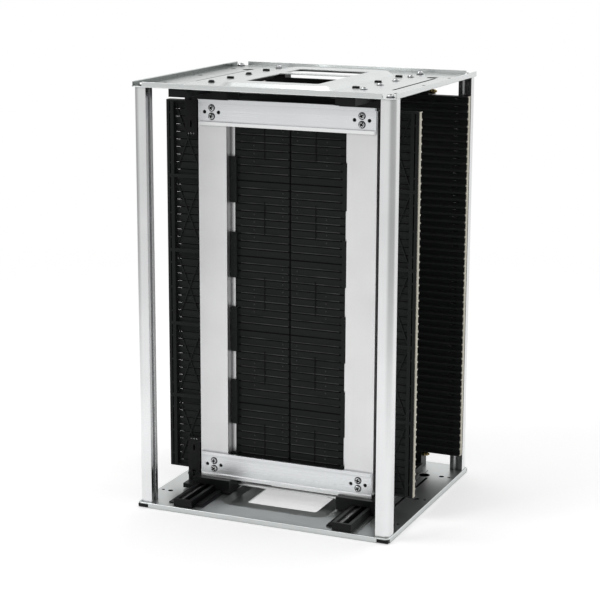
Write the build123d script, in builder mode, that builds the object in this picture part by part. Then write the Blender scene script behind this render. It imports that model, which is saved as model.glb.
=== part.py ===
from build123d import *
import os
from math import acos, atan2, cos, degrees, hypot, pi, radians, sin, tan

# Adjustable rack that holds bare circuit boards, one above the other, between two slotted walls.
# Sizes in millimetres. X runs along the board slots, Y across the board width, Z up.
# The origin is the middle of the footprint, on the floor.

# Slotted wall panels, moulded in black antistatic plastic
SLOT_PITCH = 10.0
SLOTS_PER_PANEL = 10
PANEL_ROWS = 5
PANEL_LENGTH = 175.0
PANEL_SEAM = 0.2
SLOT_DEPTH = 4.5
SLOT_RIB_ROOT = 3.6
SLOT_RIB_TIP = 2.0
PANEL_WEB = 2.5
BACK_RIB_DEPTH = 5.5
LINE_RIB_DEPTH = 1.0
LINE_RIB_WIDTH = 1.2
LINE_FIELD_START = 2.5
LINE_FIELD_END = 70.0
KEY_LINE_X = 36.0
KEY_LINE_HEIGHT = 45.0
WING_RIM = 3.8
WING_RIM_GAP = 1.7
WING_INNER_RIM = 4.8
WING_POST = 3.0
WING_END_RIB = 2.0
WING_BRACE_WIDTH = 1.4
WING_BRACE_DEPTH = 1.6
WING_SLIT_LENGTH = 9.0
WING_SLIT_HEIGHT = 2.2
WING_SLIT_GAP = 0.2
CLIP_HEIGHT = 30.0
CLIP_TIP_GAP = 1.0
CLIP_LIP = 3.2
CLIP_CLEARANCE = 0.2
EDGE_STRIP_WIDTH = 6.0
EDGE_STRIP_THICKNESS = 1.0

# Boards that the rack is set to
BOARD_WIDTH = 180.0

# Pressed base and top plates
RACK_WIDTH = 320.0
END_MARGIN = 2.5
SHEET = 1.5
PLATE_HEIGHT = 7.0
PLATE_CORNER_R = 6.0
PLATE_BEND_R = 1.2
FLANGE_NOTCH = 16.0
PAN_LENGTH = 160.0
PAN_WIDTH = 250.0
PAN_SLOPE = 10.0
PAN_WALL = 2.5
PAN_CORNER_R = 14.0
OPENING_LENGTH = 100.0
OPENING_FRONT_Y = -90.0
OPENING_BRIDGE_Y = 28.0
OPENING_BRIDGE_WIDTH = 13.0
OPENING_REAR_Y = 86.0
OPENING_CORNER_R = 4.0
GROOVE_X = 132.0
GROOVE_WIDTH = 1.4
GROOVE_DEPTH = 0.6
GROOVE_FRONT_INSET = 17.0
GROOVE_REAR_INSET = 40.0
SLOT_ROW_X = 105.0
SLOT_ROW_Y = 10.0
SLOT_ROW_PITCH = 57.0
SLOT_ROW_COUNT = 4
INNER_ROW_X = 90.5
INNER_ROW_Y = 12.5
INNER_ROW_PITCH = 77.5
INNER_ROW_COUNT = 3
OBLONG_LENGTH = 11.0
OBLONG_WIDTH = 5.0
SIDE_HOLE_PITCH = 102.0
SIDE_HOLE_X = 158.0
SIDE_HOLE_R = 3.5
SMALL_HOLE_X = 169.0
SMALL_HOLE_R = 2.25
ACCESS_HOLE_X = 134.0
ACCESS_HOLE_Y = 99.0
ACCESS_HOLE_R = 7.5

# Corner posts, extruded aluminium
POST_SIZE = 18.0
POST_CORNER_R = 8.0
POST_INSET = 4.0
POST_CORE_R = 2.55
POST_GROOVE_WIDTH = 6.0
POST_GROOVE_DEPTH = 3.5
POST_SCREW_R = 2.5
POST_SCREW_DEPTH = 16.0
POST_HEAD_R = 4.6
POST_HEAD_HEIGHT = 3.6
POST_WALL_GAP = 0.5

# Wall frame, aluminium stiles and rails
STILE_OUTER_X = 124.0
STILE_WIDTH = 40.0
STILE_DEPTH = 14.0
STILE_WALL = 2.0
STILE_FLANGE = 6.2
STILE_FLANGE_THICKNESS = 1.5
RAIL_HEIGHT = 34.0
RAIL_OVERHANG = 4.7
RAIL_WEB = 2.0
RAIL_END_SETBACK = 1.0
RAIL_LIP_HEIGHT = 4.6
RAIL_LIP_DEPTH = 2.0
RAIL_LIP_SETBACK = 2.0
FRAME_SCREW_INSET = 20.0
FRAME_SCREW_SPACING = 10.8
FRAME_SCREW_R = 2.0
FRAME_SCREW_LENGTH = 8.0
FRAME_HEAD_R = 4.1
FRAME_HEAD_HEIGHT = 2.4
FRAME_HOLE_CLEARANCE = 0.15
SPARE_HOLE_SPACING = 20.0
SPARE_HOLE_R = 2.4

# Rack and pinion that keeps the movable wall parallel
GEAR_MODULE = 1.25
PINION_TEETH = 10
PRESSURE_ANGLE = 20.0
RACK_ADDENDUM = 0.7
RACK_DEDENDUM = 1.25
PINION_ADDENDUM = 1.0
PINION_DEDENDUM = 1.25
GEAR_BACKLASH = 0.2
PINION_SIDE_GAP = 0.2
PITCH_LINE_HEIGHT = 3.25
TEETH_WIDTH = 8.0
TEETH_TRACK_GAP = 2.0
SHAFT_R = 2.5
SHAFT_DEPTH = 7.5
SHAFT_END = 0.5
SHAFT_RUNNING_GAP = 0.05
PINION_SEAT_GAP = 0.02
CLIP_RING_R = 4.0
CLIP_RING_WIDTH = 1.0
CLIP_RING_GAP = 0.3
CLIP_RING_PINION_GAP = 0.5

# Tracks on the plates
TRACK_X = 112.5
TRACK_HALF = 13.0
TRACK_WALL = 4.5
TRACK_HEIGHT = 10.5
TRACK_FLANGE_HALF = 25.0
TRACK_FLANGE_THICKNESS = 1.5
TRACK_FRONT_INSET = 4.0
TRACK_FLANGE_SETBACK = 10.0
TRACK_CAP = 3.0
TRACK_REAR_GAP = 9.0
TRACK_ACCESS_GAP = 2.0
TRACK_FLOOR = 4.0
TRACK_DIVIDER = 1.5
STRIP_WIDTH = 8.0
STRIP_THICKNESS = 1.5
STRIP_SEAT_HEIGHT = 5.0
STRIP_END_GAP = 1.0
STRIP_NOTCH_WIDTH = 3.0
STRIP_NOTCH_LENGTH = 10.0

# Carriages that carry the movable wall along the tracks
CARRIAGE_INNER_X = 77.0
CARRIAGE_OUTER_X = 146.0
CARRIAGE_DEPTH = 15.0
CARRIAGE_LENGTH = 36.0
CARRIAGE_CLEARANCE = 0.5
CARRIAGE_RAIL_GAP = 0.2
CARRIAGE_FOOT_LIFT = 0.5
CARRIAGE_COLUMN = 5.0
OUTER_FOOT_HEIGHT = 6.0
PINION_POCKET_GAP = 1.0
LEG_INNER_X = 128.5
LEG_GAP = 0.3
LEG_THICKNESS = 3.5
LEG_REACH = 44.0
LEG_WINDOW_WIDTH = 3.5
LEG_WINDOW_HEIGHT = 4.0
LEG_WINDOW_PITCH = 7.0
LEG_WINDOW_Z = 25.0
LEG_SLOT_WIDTH = 2.4
LEG_SLOT_LENGTH = 9.0
LEG_SLOT_DROP = 14.0
LEG_BOSS_R = 4.0
LEG_BOSS_HEIGHT = 2.0

# Feet that hold the fixed wall between the plates, with a bar from foot to foot
FOOT_LENGTH = 30.0
FOOT_END_SETBACK = 4.0
FOOT_SCREW_X = 104.0
FOOT_RECESS_DEPTH = 3.0
FOOT_RECESS_BORDER = 5.0
FOOT_BAR_HEIGHT = 14.5
FOOT_BAR_THICKNESS = 5.0
WALL_LIFT = 24.5
PLATE_SCREW_R = 2.0
PLATE_SCREW_GAP = 0.05
PLATE_HEAD_R = 4.0
PLATE_HEAD_HEIGHT = 2.6
FOOT_HEAD_HEIGHT = 4.5
FOOT_SCREW_DEPTH = 12.0
TRACK_SCREW_DEPTH = 3.2
TRACK_SCREW_ROWS = (-1.5, 0.5)

# Worked out from the sizes above
PANEL_HEIGHT = SLOT_PITCH * SLOTS_PER_PANEL
PANEL_DEPTH = SLOT_DEPTH + PANEL_WEB + BACK_RIB_DEPTH
WEB_BACK = SLOT_DEPTH + PANEL_WEB
PITCH_R = GEAR_MODULE * PINION_TEETH / 2
PINION_R = PITCH_R + PINION_ADDENDUM
RACK_PITCH = pi * GEAR_MODULE
PITCH_LINE_Z = PLATE_HEIGHT + PITCH_LINE_HEIGHT
SHAFT_Z = PITCH_LINE_Z + PITCH_R
WALL_Z = PLATE_HEIGHT + WALL_LIFT
WALL_HEIGHT = PANEL_ROWS * PANEL_HEIGHT
RACK_HEIGHT = WALL_HEIGHT + 2 * WALL_Z
RACK_LENGTH = 2 * (PANEL_LENGTH + END_MARGIN)
POST_X = RACK_LENGTH / 2 - SHEET - POST_SIZE / 2
POST_Y = RACK_WIDTH / 2 - POST_INSET - POST_SIZE / 2
POST_LENGTH = RACK_HEIGHT - 2 * PLATE_HEIGHT
FIXED_TIP_Y = POST_Y - POST_SIZE / 2 - POST_WALL_GAP - PANEL_DEPTH
MOVABLE_TIP_Y = FIXED_TIP_Y - BOARD_WIDTH
SHAFT_Y = MOVABLE_TIP_Y - SHAFT_DEPTH
STILE_INNER_X = STILE_OUTER_X - STILE_WIDTH
STILE_FRONT = WEB_BACK + STILE_DEPTH
RAIL_Z = WALL_Z - RAIL_OVERHANG
FRAME_SCREW_X = STILE_OUTER_X - FRAME_SCREW_INSET
TRACK_TOP_Z = PLATE_HEIGHT + TRACK_HEIGHT
TRACK_FRONT_Y = -RACK_WIDTH / 2 + TRACK_FRONT_INSET
TRACK_REAR_Y = FIXED_TIP_Y - TRACK_REAR_GAP
RACK_TIP_Z = PITCH_LINE_Z + RACK_ADDENDUM
TEETH_X = TRACK_X - TRACK_HALF - TEETH_TRACK_GAP - TEETH_WIDTH / 2
CARRIAGE_Y = MOVABLE_TIP_Y - CARRIAGE_DEPTH
TRACK_SCREW_Y = [SLOT_ROW_Y + row * SLOT_ROW_PITCH for row in TRACK_SCREW_ROWS]
FOOT_Y = FIXED_TIP_Y + STILE_FRONT / 2

# Mirror planes: left to right, bottom to top, movable wall to fixed wall
LEFT_RIGHT = Plane.YZ
BOTTOM_TOP = Plane.XY.offset(RACK_HEIGHT / 2)
WALL_TO_WALL = Plane.XZ.offset(-(FIXED_TIP_Y + MOVABLE_TIP_Y) / 2)

os.makedirs("parts", exist_ok=True)


def save(part, node):
    """Label a finished piece and write it to its own file."""
    part.label = node
    export_step(part, f"parts/{node}.step")


def mirrored(part, plane):
    """The other hand of a piece."""
    with BuildPart() as other_hand:
        add(part)
        mirror(about=plane, mode=Mode.REPLACE)
    return other_hand.part


def wall_plane(depth):
    """Plane of the movable wall, that far behind the slot tips and facing out of the rack."""
    return Plane.XZ.offset(depth - MOVABLE_TIP_Y)


def shaft_plane(x):
    """Plane across the bottom shaft at that X, with its origin on the shaft's axis."""
    return Plane(origin=(x, SHAFT_Y, SHAFT_Z), x_dir=(0, 1, 0), z_dir=(1, 0, 0))


def save_four(part, name):
    """Write a bottom right piece and its three mirror images."""
    left = mirrored(part, LEFT_RIGHT)
    save(part, f"{name}_bottom_right")
    save(left, f"{name}_bottom_left")
    save(mirrored(part, BOTTOM_TOP), f"{name}_top_right")
    save(mirrored(left, BOTTOM_TOP), f"{name}_top_left")


# Base and top plate: one sheet with turned edges, a pressed pan in the middle and rows of holes
with BuildPart() as base_plate:
    with BuildSketch(Plane.XY):
        RectangleRounded(RACK_LENGTH, RACK_WIDTH, PLATE_CORNER_R)
    extrude(amount=PLATE_HEIGHT)
    fillet(edges().group_by(Axis.Z)[-1], PLATE_BEND_R)
    with BuildSketch(Plane.XY):
        RectangleRounded(RACK_LENGTH - 2 * SHEET, RACK_WIDTH - 2 * SHEET, PLATE_CORNER_R - SHEET)
    extrude(amount=PLATE_HEIGHT - SHEET, mode=Mode.SUBTRACT)
    # The front and rear edges stop short of the corners, which leaves the post screws in view
    with BuildSketch(Plane.XY):
        with GridLocations(RACK_LENGTH - FLANGE_NOTCH, RACK_WIDTH - PLATE_CORNER_R, 2, 2):
            Rectangle(FLANGE_NOTCH, PLATE_CORNER_R)
    extrude(amount=PLATE_HEIGHT - SHEET, mode=Mode.SUBTRACT)
    # Pan pressed down until it is level with the turned edges
    with BuildSketch(Plane.XY):
        RectangleRounded(PAN_LENGTH - 2 * PAN_SLOPE, PAN_WIDTH - 2 * PAN_SLOPE, PAN_CORNER_R)
    with BuildSketch(Plane.XY.offset(PLATE_HEIGHT)):
        RectangleRounded(PAN_LENGTH, PAN_WIDTH, PAN_CORNER_R + PAN_SLOPE)
    loft()
    floor_trim = 2 * PAN_SLOPE + PAN_WALL
    mouth_trim = 2 * PAN_WALL
    with BuildSketch(Plane.XY.offset(SHEET)):
        RectangleRounded(PAN_LENGTH - floor_trim, PAN_WIDTH - floor_trim, PAN_CORNER_R)
    with BuildSketch(Plane.XY.offset(PLATE_HEIGHT)):
        mouth_r = PAN_CORNER_R + PAN_SLOPE - PAN_WALL
        RectangleRounded(PAN_LENGTH - mouth_trim, PAN_WIDTH - mouth_trim, mouth_r)
    loft(mode=Mode.SUBTRACT)
    # Two openings in the pan with a bridge between them
    front_opening = OPENING_BRIDGE_Y - OPENING_BRIDGE_WIDTH / 2 - OPENING_FRONT_Y
    rear_opening = OPENING_REAR_Y - OPENING_BRIDGE_Y - OPENING_BRIDGE_WIDTH / 2
    with BuildSketch(Plane.XY):
        with Locations((0, OPENING_FRONT_Y + front_opening / 2)):
            RectangleRounded(OPENING_LENGTH, front_opening, OPENING_CORNER_R)
        with Locations((0, OPENING_REAR_Y - rear_opening / 2)):
            RectangleRounded(OPENING_LENGTH, rear_opening, OPENING_CORNER_R)
    extrude(amount=PLATE_HEIGHT, mode=Mode.SUBTRACT)
    # Post screw holes, track slots, foot screw holes, side holes and access holes
    with BuildSketch(Plane.XY):
        with GridLocations(2 * POST_X, 2 * POST_Y, 2, 2):
            Circle(POST_CORE_R)
        with Locations((0, SLOT_ROW_Y)):
            with GridLocations(2 * SLOT_ROW_X, SLOT_ROW_PITCH, 2, SLOT_ROW_COUNT):
                SlotOverall(OBLONG_LENGTH, OBLONG_WIDTH)
        with Locations((INNER_ROW_X, INNER_ROW_Y)):
            with GridLocations(0, INNER_ROW_PITCH, 1, INNER_ROW_COUNT):
                SlotOverall(OBLONG_LENGTH, OBLONG_WIDTH)
        with Locations((-FOOT_SCREW_X, FOOT_Y), (FOOT_SCREW_X, FOOT_Y)):
            Circle(PLATE_SCREW_R + PLATE_SCREW_GAP)
        with GridLocations(2 * SIDE_HOLE_X, SIDE_HOLE_PITCH, 2, 3):
            Circle(SIDE_HOLE_R)
        with GridLocations(2 * SMALL_HOLE_X, SIDE_HOLE_PITCH, 2, 3):
            Circle(SMALL_HOLE_R)
        with Locations((-ACCESS_HOLE_X, ACCESS_HOLE_Y), (ACCESS_HOLE_X, ACCESS_HOLE_Y)):
            Circle(ACCESS_HOLE_R)
    extrude(amount=PLATE_HEIGHT, mode=Mode.SUBTRACT)
    # Shallow pressed groove beside each track
    groove_length = RACK_WIDTH - GROOVE_FRONT_INSET - GROOVE_REAR_INSET
    groove_y = (GROOVE_FRONT_INSET - GROOVE_REAR_INSET) / 2
    with BuildSketch(Plane.XY.offset(PLATE_HEIGHT)):
        with Locations((-GROOVE_X, groove_y), (GROOVE_X, groove_y)):
            Rectangle(GROOVE_WIDTH, groove_length)
    extrude(amount=-GROOVE_DEPTH, mode=Mode.SUBTRACT)
save(base_plate.part, "base_plate")
save(mirrored(base_plate.part, BOTTOM_TOP), "top_plate")

# Corner posts: square extrusion, round on the outer corner, grooved on both inner faces
with BuildPart() as post:
    with BuildSketch(Plane.XY.offset(PLATE_HEIGHT)):
        with Locations((POST_X, -POST_Y)):
            Rectangle(POST_SIZE, POST_SIZE)
        fillet(vertices().sort_by(Axis.Y)[:2].sort_by(Axis.X)[-1], POST_CORNER_R)
        with Locations((POST_X, -POST_Y)):
            Circle(POST_CORE_R, mode=Mode.SUBTRACT)
        with Locations((POST_X - (POST_SIZE - POST_GROOVE_DEPTH) / 2, -POST_Y)):
            Rectangle(POST_GROOVE_DEPTH, POST_GROOVE_WIDTH, mode=Mode.SUBTRACT)
        with Locations((POST_X, -POST_Y + (POST_SIZE - POST_GROOVE_DEPTH) / 2)):
            Rectangle(POST_GROOVE_WIDTH, POST_GROOVE_DEPTH, mode=Mode.SUBTRACT)
    extrude(amount=POST_LENGTH)
front_left_post = mirrored(post.part, LEFT_RIGHT)
save(post.part, "post_front_right")
save(front_left_post, "post_front_left")
save(mirrored(post.part, Plane.XZ), "post_rear_right")
save(mirrored(front_left_post, Plane.XZ), "post_rear_left")

# Post screws: through each plate into the core of the post
with BuildPart() as bottom_post_screws:
    with BuildSketch(Plane.XY.offset(PLATE_HEIGHT - SHEET)):
        with GridLocations(2 * POST_X, 2 * POST_Y, 2, 2):
            Circle(POST_HEAD_R)
    extrude(amount=-POST_HEAD_HEIGHT)
    with BuildSketch(Plane.XY.offset(PLATE_HEIGHT - SHEET)):
        with GridLocations(2 * POST_X, 2 * POST_Y, 2, 2):
            Circle(POST_SCREW_R)
    extrude(amount=SHEET + POST_SCREW_DEPTH)
with BuildPart() as post_screws:
    add(bottom_post_screws.part)
    mirror(about=BOTTOM_TOP)
save(post_screws.part, "post_screws")

# Slotted panel: comb of board slots inside, line ribs, clips and a braced wing outside
panel_low_z = WALL_Z + PANEL_SEAM / 2
panel_high_z = WALL_Z + PANEL_HEIGHT - PANEL_SEAM / 2
panel_mid_z = WALL_Z + PANEL_HEIGHT / 2
panel_end_x = PANEL_LENGTH - PANEL_SEAM / 2
slot_tip_y = MOVABLE_TIP_Y
slot_floor_y = MOVABLE_TIP_Y - SLOT_DEPTH
comb = [(MOVABLE_TIP_Y - WEB_BACK, panel_low_z), (slot_tip_y, panel_low_z)]
for slot in range(SLOTS_PER_PANEL):
    slot_low_z = WALL_Z + slot * SLOT_PITCH
    slot_high_z = slot_low_z + SLOT_PITCH
    comb.append((slot_tip_y, slot_low_z + SLOT_RIB_TIP / 2))
    comb.append((slot_floor_y, slot_low_z + SLOT_RIB_ROOT / 2))
    comb.append((slot_floor_y, slot_high_z - SLOT_RIB_ROOT / 2))
    comb.append((slot_tip_y, slot_high_z - SLOT_RIB_TIP / 2))
comb.append((slot_tip_y, panel_high_z))
comb.append((MOVABLE_TIP_Y - WEB_BACK, panel_high_z))
wing_start_x = STILE_OUTER_X + CLIP_CLEARANCE
wing_length = panel_end_x - wing_start_x
rim_x = panel_end_x - WING_RIM / 2
inner_rim_x = panel_end_x - WING_RIM - WING_RIM_GAP - WING_INNER_RIM / 2
wing_field_start = wing_start_x + WING_POST
wing_field_end = inner_rim_x - WING_INNER_RIM / 2
wing_field_x = (wing_field_start + wing_field_end) / 2
brace_rise = PANEL_HEIGHT - 2 * WING_END_RIB
brace_run = wing_field_end - wing_field_start
brace_length = hypot(brace_rise, brace_run)
brace_tilt = degrees(atan2(brace_run, brace_rise))
clip_root_x = STILE_INNER_X - STILE_FLANGE - CLIP_CLEARANCE
with BuildPart() as panel:
    with BuildSketch(Plane.YZ.offset(PANEL_SEAM / 2)):
        with BuildLine():
            Polyline(*comb, close=True)
        make_face()
    extrude(amount=panel_end_x - PANEL_SEAM / 2)
    # Slits through the wing, each under the rib above its slot
    slit_drop = SLOT_RIB_ROOT / 2 + WING_SLIT_GAP + WING_SLIT_HEIGHT / 2
    slit_x = wing_field_end - WING_SLIT_LENGTH / 2
    with BuildSketch(wall_plane(SLOT_DEPTH)):
        with Locations((slit_x, panel_mid_z + SLOT_PITCH / 2 - slit_drop)):
            with GridLocations(0, SLOT_PITCH, 1, SLOTS_PER_PANEL):
                Rectangle(WING_SLIT_LENGTH, WING_SLIT_HEIGHT)
    extrude(amount=PANEL_WEB, mode=Mode.SUBTRACT)
    # Line ribs level with the slot ribs, and one short upright line
    line_length = LINE_FIELD_END - LINE_FIELD_START
    with BuildSketch(wall_plane(WEB_BACK)):
        with Locations(((LINE_FIELD_START + LINE_FIELD_END) / 2, panel_mid_z)):
            with GridLocations(0, SLOT_PITCH, 1, SLOTS_PER_PANEL - 1):
                Rectangle(line_length, LINE_RIB_WIDTH)
        with Locations((wing_field_x, panel_mid_z)):
            with GridLocations(0, SLOT_PITCH, 1, SLOTS_PER_PANEL - 1):
                Rectangle(brace_run, LINE_RIB_WIDTH)
        with Locations((KEY_LINE_X, panel_mid_z)):
            Rectangle(LINE_RIB_WIDTH, KEY_LINE_HEIGHT)
    extrude(amount=LINE_RIB_DEPTH)
    # Clips that reach over the stile's flange at the top and bottom of the panel
    clip_depth = STILE_FLANGE_THICKNESS + CLIP_CLEARANCE
    clip_z = (panel_low_z + CLIP_HEIGHT / 2, panel_high_z - CLIP_HEIGHT / 2)
    with BuildSketch(wall_plane(WEB_BACK)):
        with Locations((clip_root_x - CLIP_LIP / 2, clip_z[0]), (clip_root_x - CLIP_LIP / 2, clip_z[1])):
            Rectangle(CLIP_LIP, CLIP_HEIGHT)
    extrude(amount=clip_depth + CLIP_LIP)
    clip_length = CLIP_LIP + STILE_FLANGE + CLIP_CLEARANCE - CLIP_TIP_GAP
    clip_x = clip_root_x - CLIP_LIP + clip_length / 2
    with BuildSketch(wall_plane(WEB_BACK + clip_depth)):
        with Locations((clip_x, clip_z[0]), (clip_x, clip_z[1])):
            Rectangle(clip_length, CLIP_HEIGHT)
    extrude(amount=CLIP_LIP)
    # Wing past the stile: double rim, end ribs and low crossed braces
    with BuildSketch(wall_plane(WEB_BACK)):
        with Locations((rim_x, panel_mid_z)):
            Rectangle(WING_RIM, PANEL_HEIGHT - PANEL_SEAM)
        with Locations((inner_rim_x, panel_mid_z)):
            Rectangle(WING_INNER_RIM, PANEL_HEIGHT - PANEL_SEAM)
        with Locations((wing_start_x + WING_POST / 2, panel_mid_z)):
            Rectangle(WING_POST, PANEL_HEIGHT - PANEL_SEAM)
        with Locations((wing_start_x + wing_length / 2, panel_low_z + WING_END_RIB / 2)):
            Rectangle(wing_length, WING_END_RIB)
        with Locations((wing_start_x + wing_length / 2, panel_high_z - WING_END_RIB / 2)):
            Rectangle(wing_length, WING_END_RIB)
    extrude(amount=BACK_RIB_DEPTH)
    with BuildSketch(wall_plane(WEB_BACK)):
        with Locations((wing_field_x, panel_mid_z)):
            Rectangle(WING_BRACE_WIDTH, brace_length, rotation=brace_tilt)
            Rectangle(WING_BRACE_WIDTH, brace_length, rotation=-brace_tilt)
    extrude(amount=WING_BRACE_DEPTH)
for row in range(PANEL_ROWS):
    with BuildPart() as right_panel:
        with Locations((0, 0, row * PANEL_HEIGHT)):
            add(panel.part)
    left_panel = mirrored(right_panel.part, LEFT_RIGHT)
    save(right_panel.part, f"movable_panel_{row + 1}_right")
    save(left_panel, f"movable_panel_{row + 1}_left")
    save(mirrored(right_panel.part, WALL_TO_WALL), f"fixed_panel_{row + 1}_right")
    save(mirrored(left_panel, WALL_TO_WALL), f"fixed_panel_{row + 1}_left")

# Edge strips: pale strips down both ends of a wall, from the slot floors back
with BuildPart() as edge_strips:
    with BuildSketch(wall_plane(SLOT_DEPTH)):
        strip_x = panel_end_x + EDGE_STRIP_THICKNESS / 2
        with Locations((-strip_x, WALL_Z + WALL_HEIGHT / 2), (strip_x, WALL_Z + WALL_HEIGHT / 2)):
            Rectangle(EDGE_STRIP_THICKNESS, WALL_HEIGHT)
    extrude(amount=EDGE_STRIP_WIDTH)
save(edge_strips.part, "movable_edge_strips")
save(mirrored(edge_strips.part, WALL_TO_WALL), "fixed_edge_strips")

# Stile: hollow extrusion with a flange for the panel clips, drilled for the rail screws
rail_mid_z = RAIL_Z + RAIL_HEIGHT / 2
screw_low_z = (rail_mid_z - FRAME_SCREW_SPACING / 2, rail_mid_z + FRAME_SCREW_SPACING / 2)
screw_heights = [*screw_low_z, *(RACK_HEIGHT - z for z in screw_low_z)]
stile_mid_x = STILE_OUTER_X - STILE_WIDTH / 2
stile_mid_y = MOVABLE_TIP_Y - WEB_BACK - STILE_DEPTH / 2
with BuildPart() as stile:
    with BuildSketch(Plane.XY.offset(WALL_Z)):
        with Locations((stile_mid_x, stile_mid_y)):
            Rectangle(STILE_WIDTH, STILE_DEPTH)
            Rectangle(STILE_WIDTH - 2 * STILE_WALL, STILE_DEPTH - 2 * STILE_WALL, mode=Mode.SUBTRACT)
        flange_y = MOVABLE_TIP_Y - WEB_BACK - STILE_FLANGE_THICKNESS / 2
        with Locations((STILE_INNER_X - STILE_FLANGE / 2, flange_y)):
            Rectangle(STILE_FLANGE, STILE_FLANGE_THICKNESS)
    extrude(amount=WALL_HEIGHT)
    with BuildSketch(wall_plane(STILE_FRONT)):
        with Locations(*[(FRAME_SCREW_X, z) for z in screw_heights]):
            Circle(FRAME_SCREW_R + FRAME_HOLE_CLEARANCE)
        with Locations((FRAME_SCREW_X, rail_mid_z), (FRAME_SCREW_X, RACK_HEIGHT - rail_mid_z)):
            with GridLocations(SPARE_HOLE_SPACING, 0, 2, 1):
                Circle(SPARE_HOLE_R)
    extrude(amount=-STILE_WALL, mode=Mode.SUBTRACT)
left_stile = mirrored(stile.part, LEFT_RIGHT)
save(stile.part, "movable_stile_right")
save(left_stile, "movable_stile_left")
save(mirrored(stile.part, WALL_TO_WALL), "fixed_stile_right")
save(mirrored(left_stile, WALL_TO_WALL), "fixed_stile_left")

# Rail: channel across both stiles with a raised lip along each edge
rail_length = 2 * STILE_OUTER_X
with BuildPart() as rail:
    with BuildSketch(wall_plane(STILE_FRONT)):
        with Locations((0, rail_mid_z)):
            Rectangle(rail_length - 2 * RAIL_END_SETBACK, RAIL_HEIGHT)
            with GridLocations(2 * FRAME_SCREW_X, FRAME_SCREW_SPACING, 2, 2):
                Circle(FRAME_SCREW_R + FRAME_HOLE_CLEARANCE, mode=Mode.SUBTRACT)
            with GridLocations(2 * FRAME_SCREW_X, 0, 2, 1):
                with GridLocations(SPARE_HOLE_SPACING, 0, 2, 1):
                    Circle(SPARE_HOLE_R, mode=Mode.SUBTRACT)
    extrude(amount=RAIL_WEB)
    with BuildSketch(wall_plane(STILE_FRONT)):
        with Locations((0, rail_mid_z)):
            with GridLocations(0, RAIL_HEIGHT - RAIL_LIP_HEIGHT, 1, 2):
                Rectangle(rail_length - 2 * RAIL_LIP_SETBACK, RAIL_LIP_HEIGHT)
    extrude(amount=RAIL_WEB + RAIL_LIP_DEPTH)
top_rail = mirrored(rail.part, BOTTOM_TOP)
save(rail.part, "movable_rail_bottom")
save(top_rail, "movable_rail_top")
save(mirrored(rail.part, WALL_TO_WALL), "fixed_rail_bottom")
save(mirrored(top_rail, WALL_TO_WALL), "fixed_rail_top")

# Frame screws: two at each end of each rail, into the stile
frame_screw_spots = [(x, z) for x in (-FRAME_SCREW_X, FRAME_SCREW_X) for z in screw_heights]
with BuildPart() as frame_screws:
    with BuildSketch(wall_plane(STILE_FRONT + RAIL_WEB)):
        with Locations(*frame_screw_spots):
            Circle(FRAME_HEAD_R)
    extrude(amount=FRAME_HEAD_HEIGHT)
    with BuildSketch(wall_plane(STILE_FRONT + RAIL_WEB)):
        with Locations(*frame_screw_spots):
            Circle(FRAME_SCREW_R)
    extrude(amount=-FRAME_SCREW_LENGTH)
save(frame_screws.part, "movable_frame_screws")
save(mirrored(frame_screws.part, WALL_TO_WALL), "fixed_frame_screws")

# Track: flanged channel with end caps, a strip seat and a deep groove, and a rack on its inner flange
track_length = TRACK_REAR_Y - TRACK_FRONT_Y
track_inside = track_length - 2 * TRACK_CAP
track_mid_y = (TRACK_FRONT_Y + TRACK_REAR_Y) / 2
seat_left = -TRACK_HALF + TRACK_WALL
groove_left = seat_left + STRIP_WIDTH + TRACK_DIVIDER
groove_right = TRACK_HALF - TRACK_WALL
flange_front_y = TRACK_FRONT_Y + TRACK_FLANGE_SETBACK
flange_length = TRACK_REAR_Y - flange_front_y
flange_y = flange_front_y + flange_length / 2
outer_flange_length = ACCESS_HOLE_Y - ACCESS_HOLE_R - TRACK_ACCESS_GAP - flange_front_y
flange_width = TRACK_FLANGE_HALF - TRACK_HALF
flange_top_z = PLATE_HEIGHT + TRACK_FLANGE_THICKNESS
gap_root_z = PITCH_LINE_Z - RACK_DEDENDUM
gap_height = RACK_ADDENDUM + RACK_DEDENDUM
flank = tan(radians(PRESSURE_ANGLE))
gap_mouth_width = RACK_PITCH / 2 + GEAR_BACKLASH + 2 * RACK_ADDENDUM * flank
first_gap = int((flange_front_y - SHAFT_Y) / RACK_PITCH)
last_gap = int((TRACK_REAR_Y - SHAFT_Y) / RACK_PITCH)
gap_spots = [(SHAFT_Y + gap * RACK_PITCH, gap_root_z) for gap in range(first_gap, last_gap)]


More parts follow.
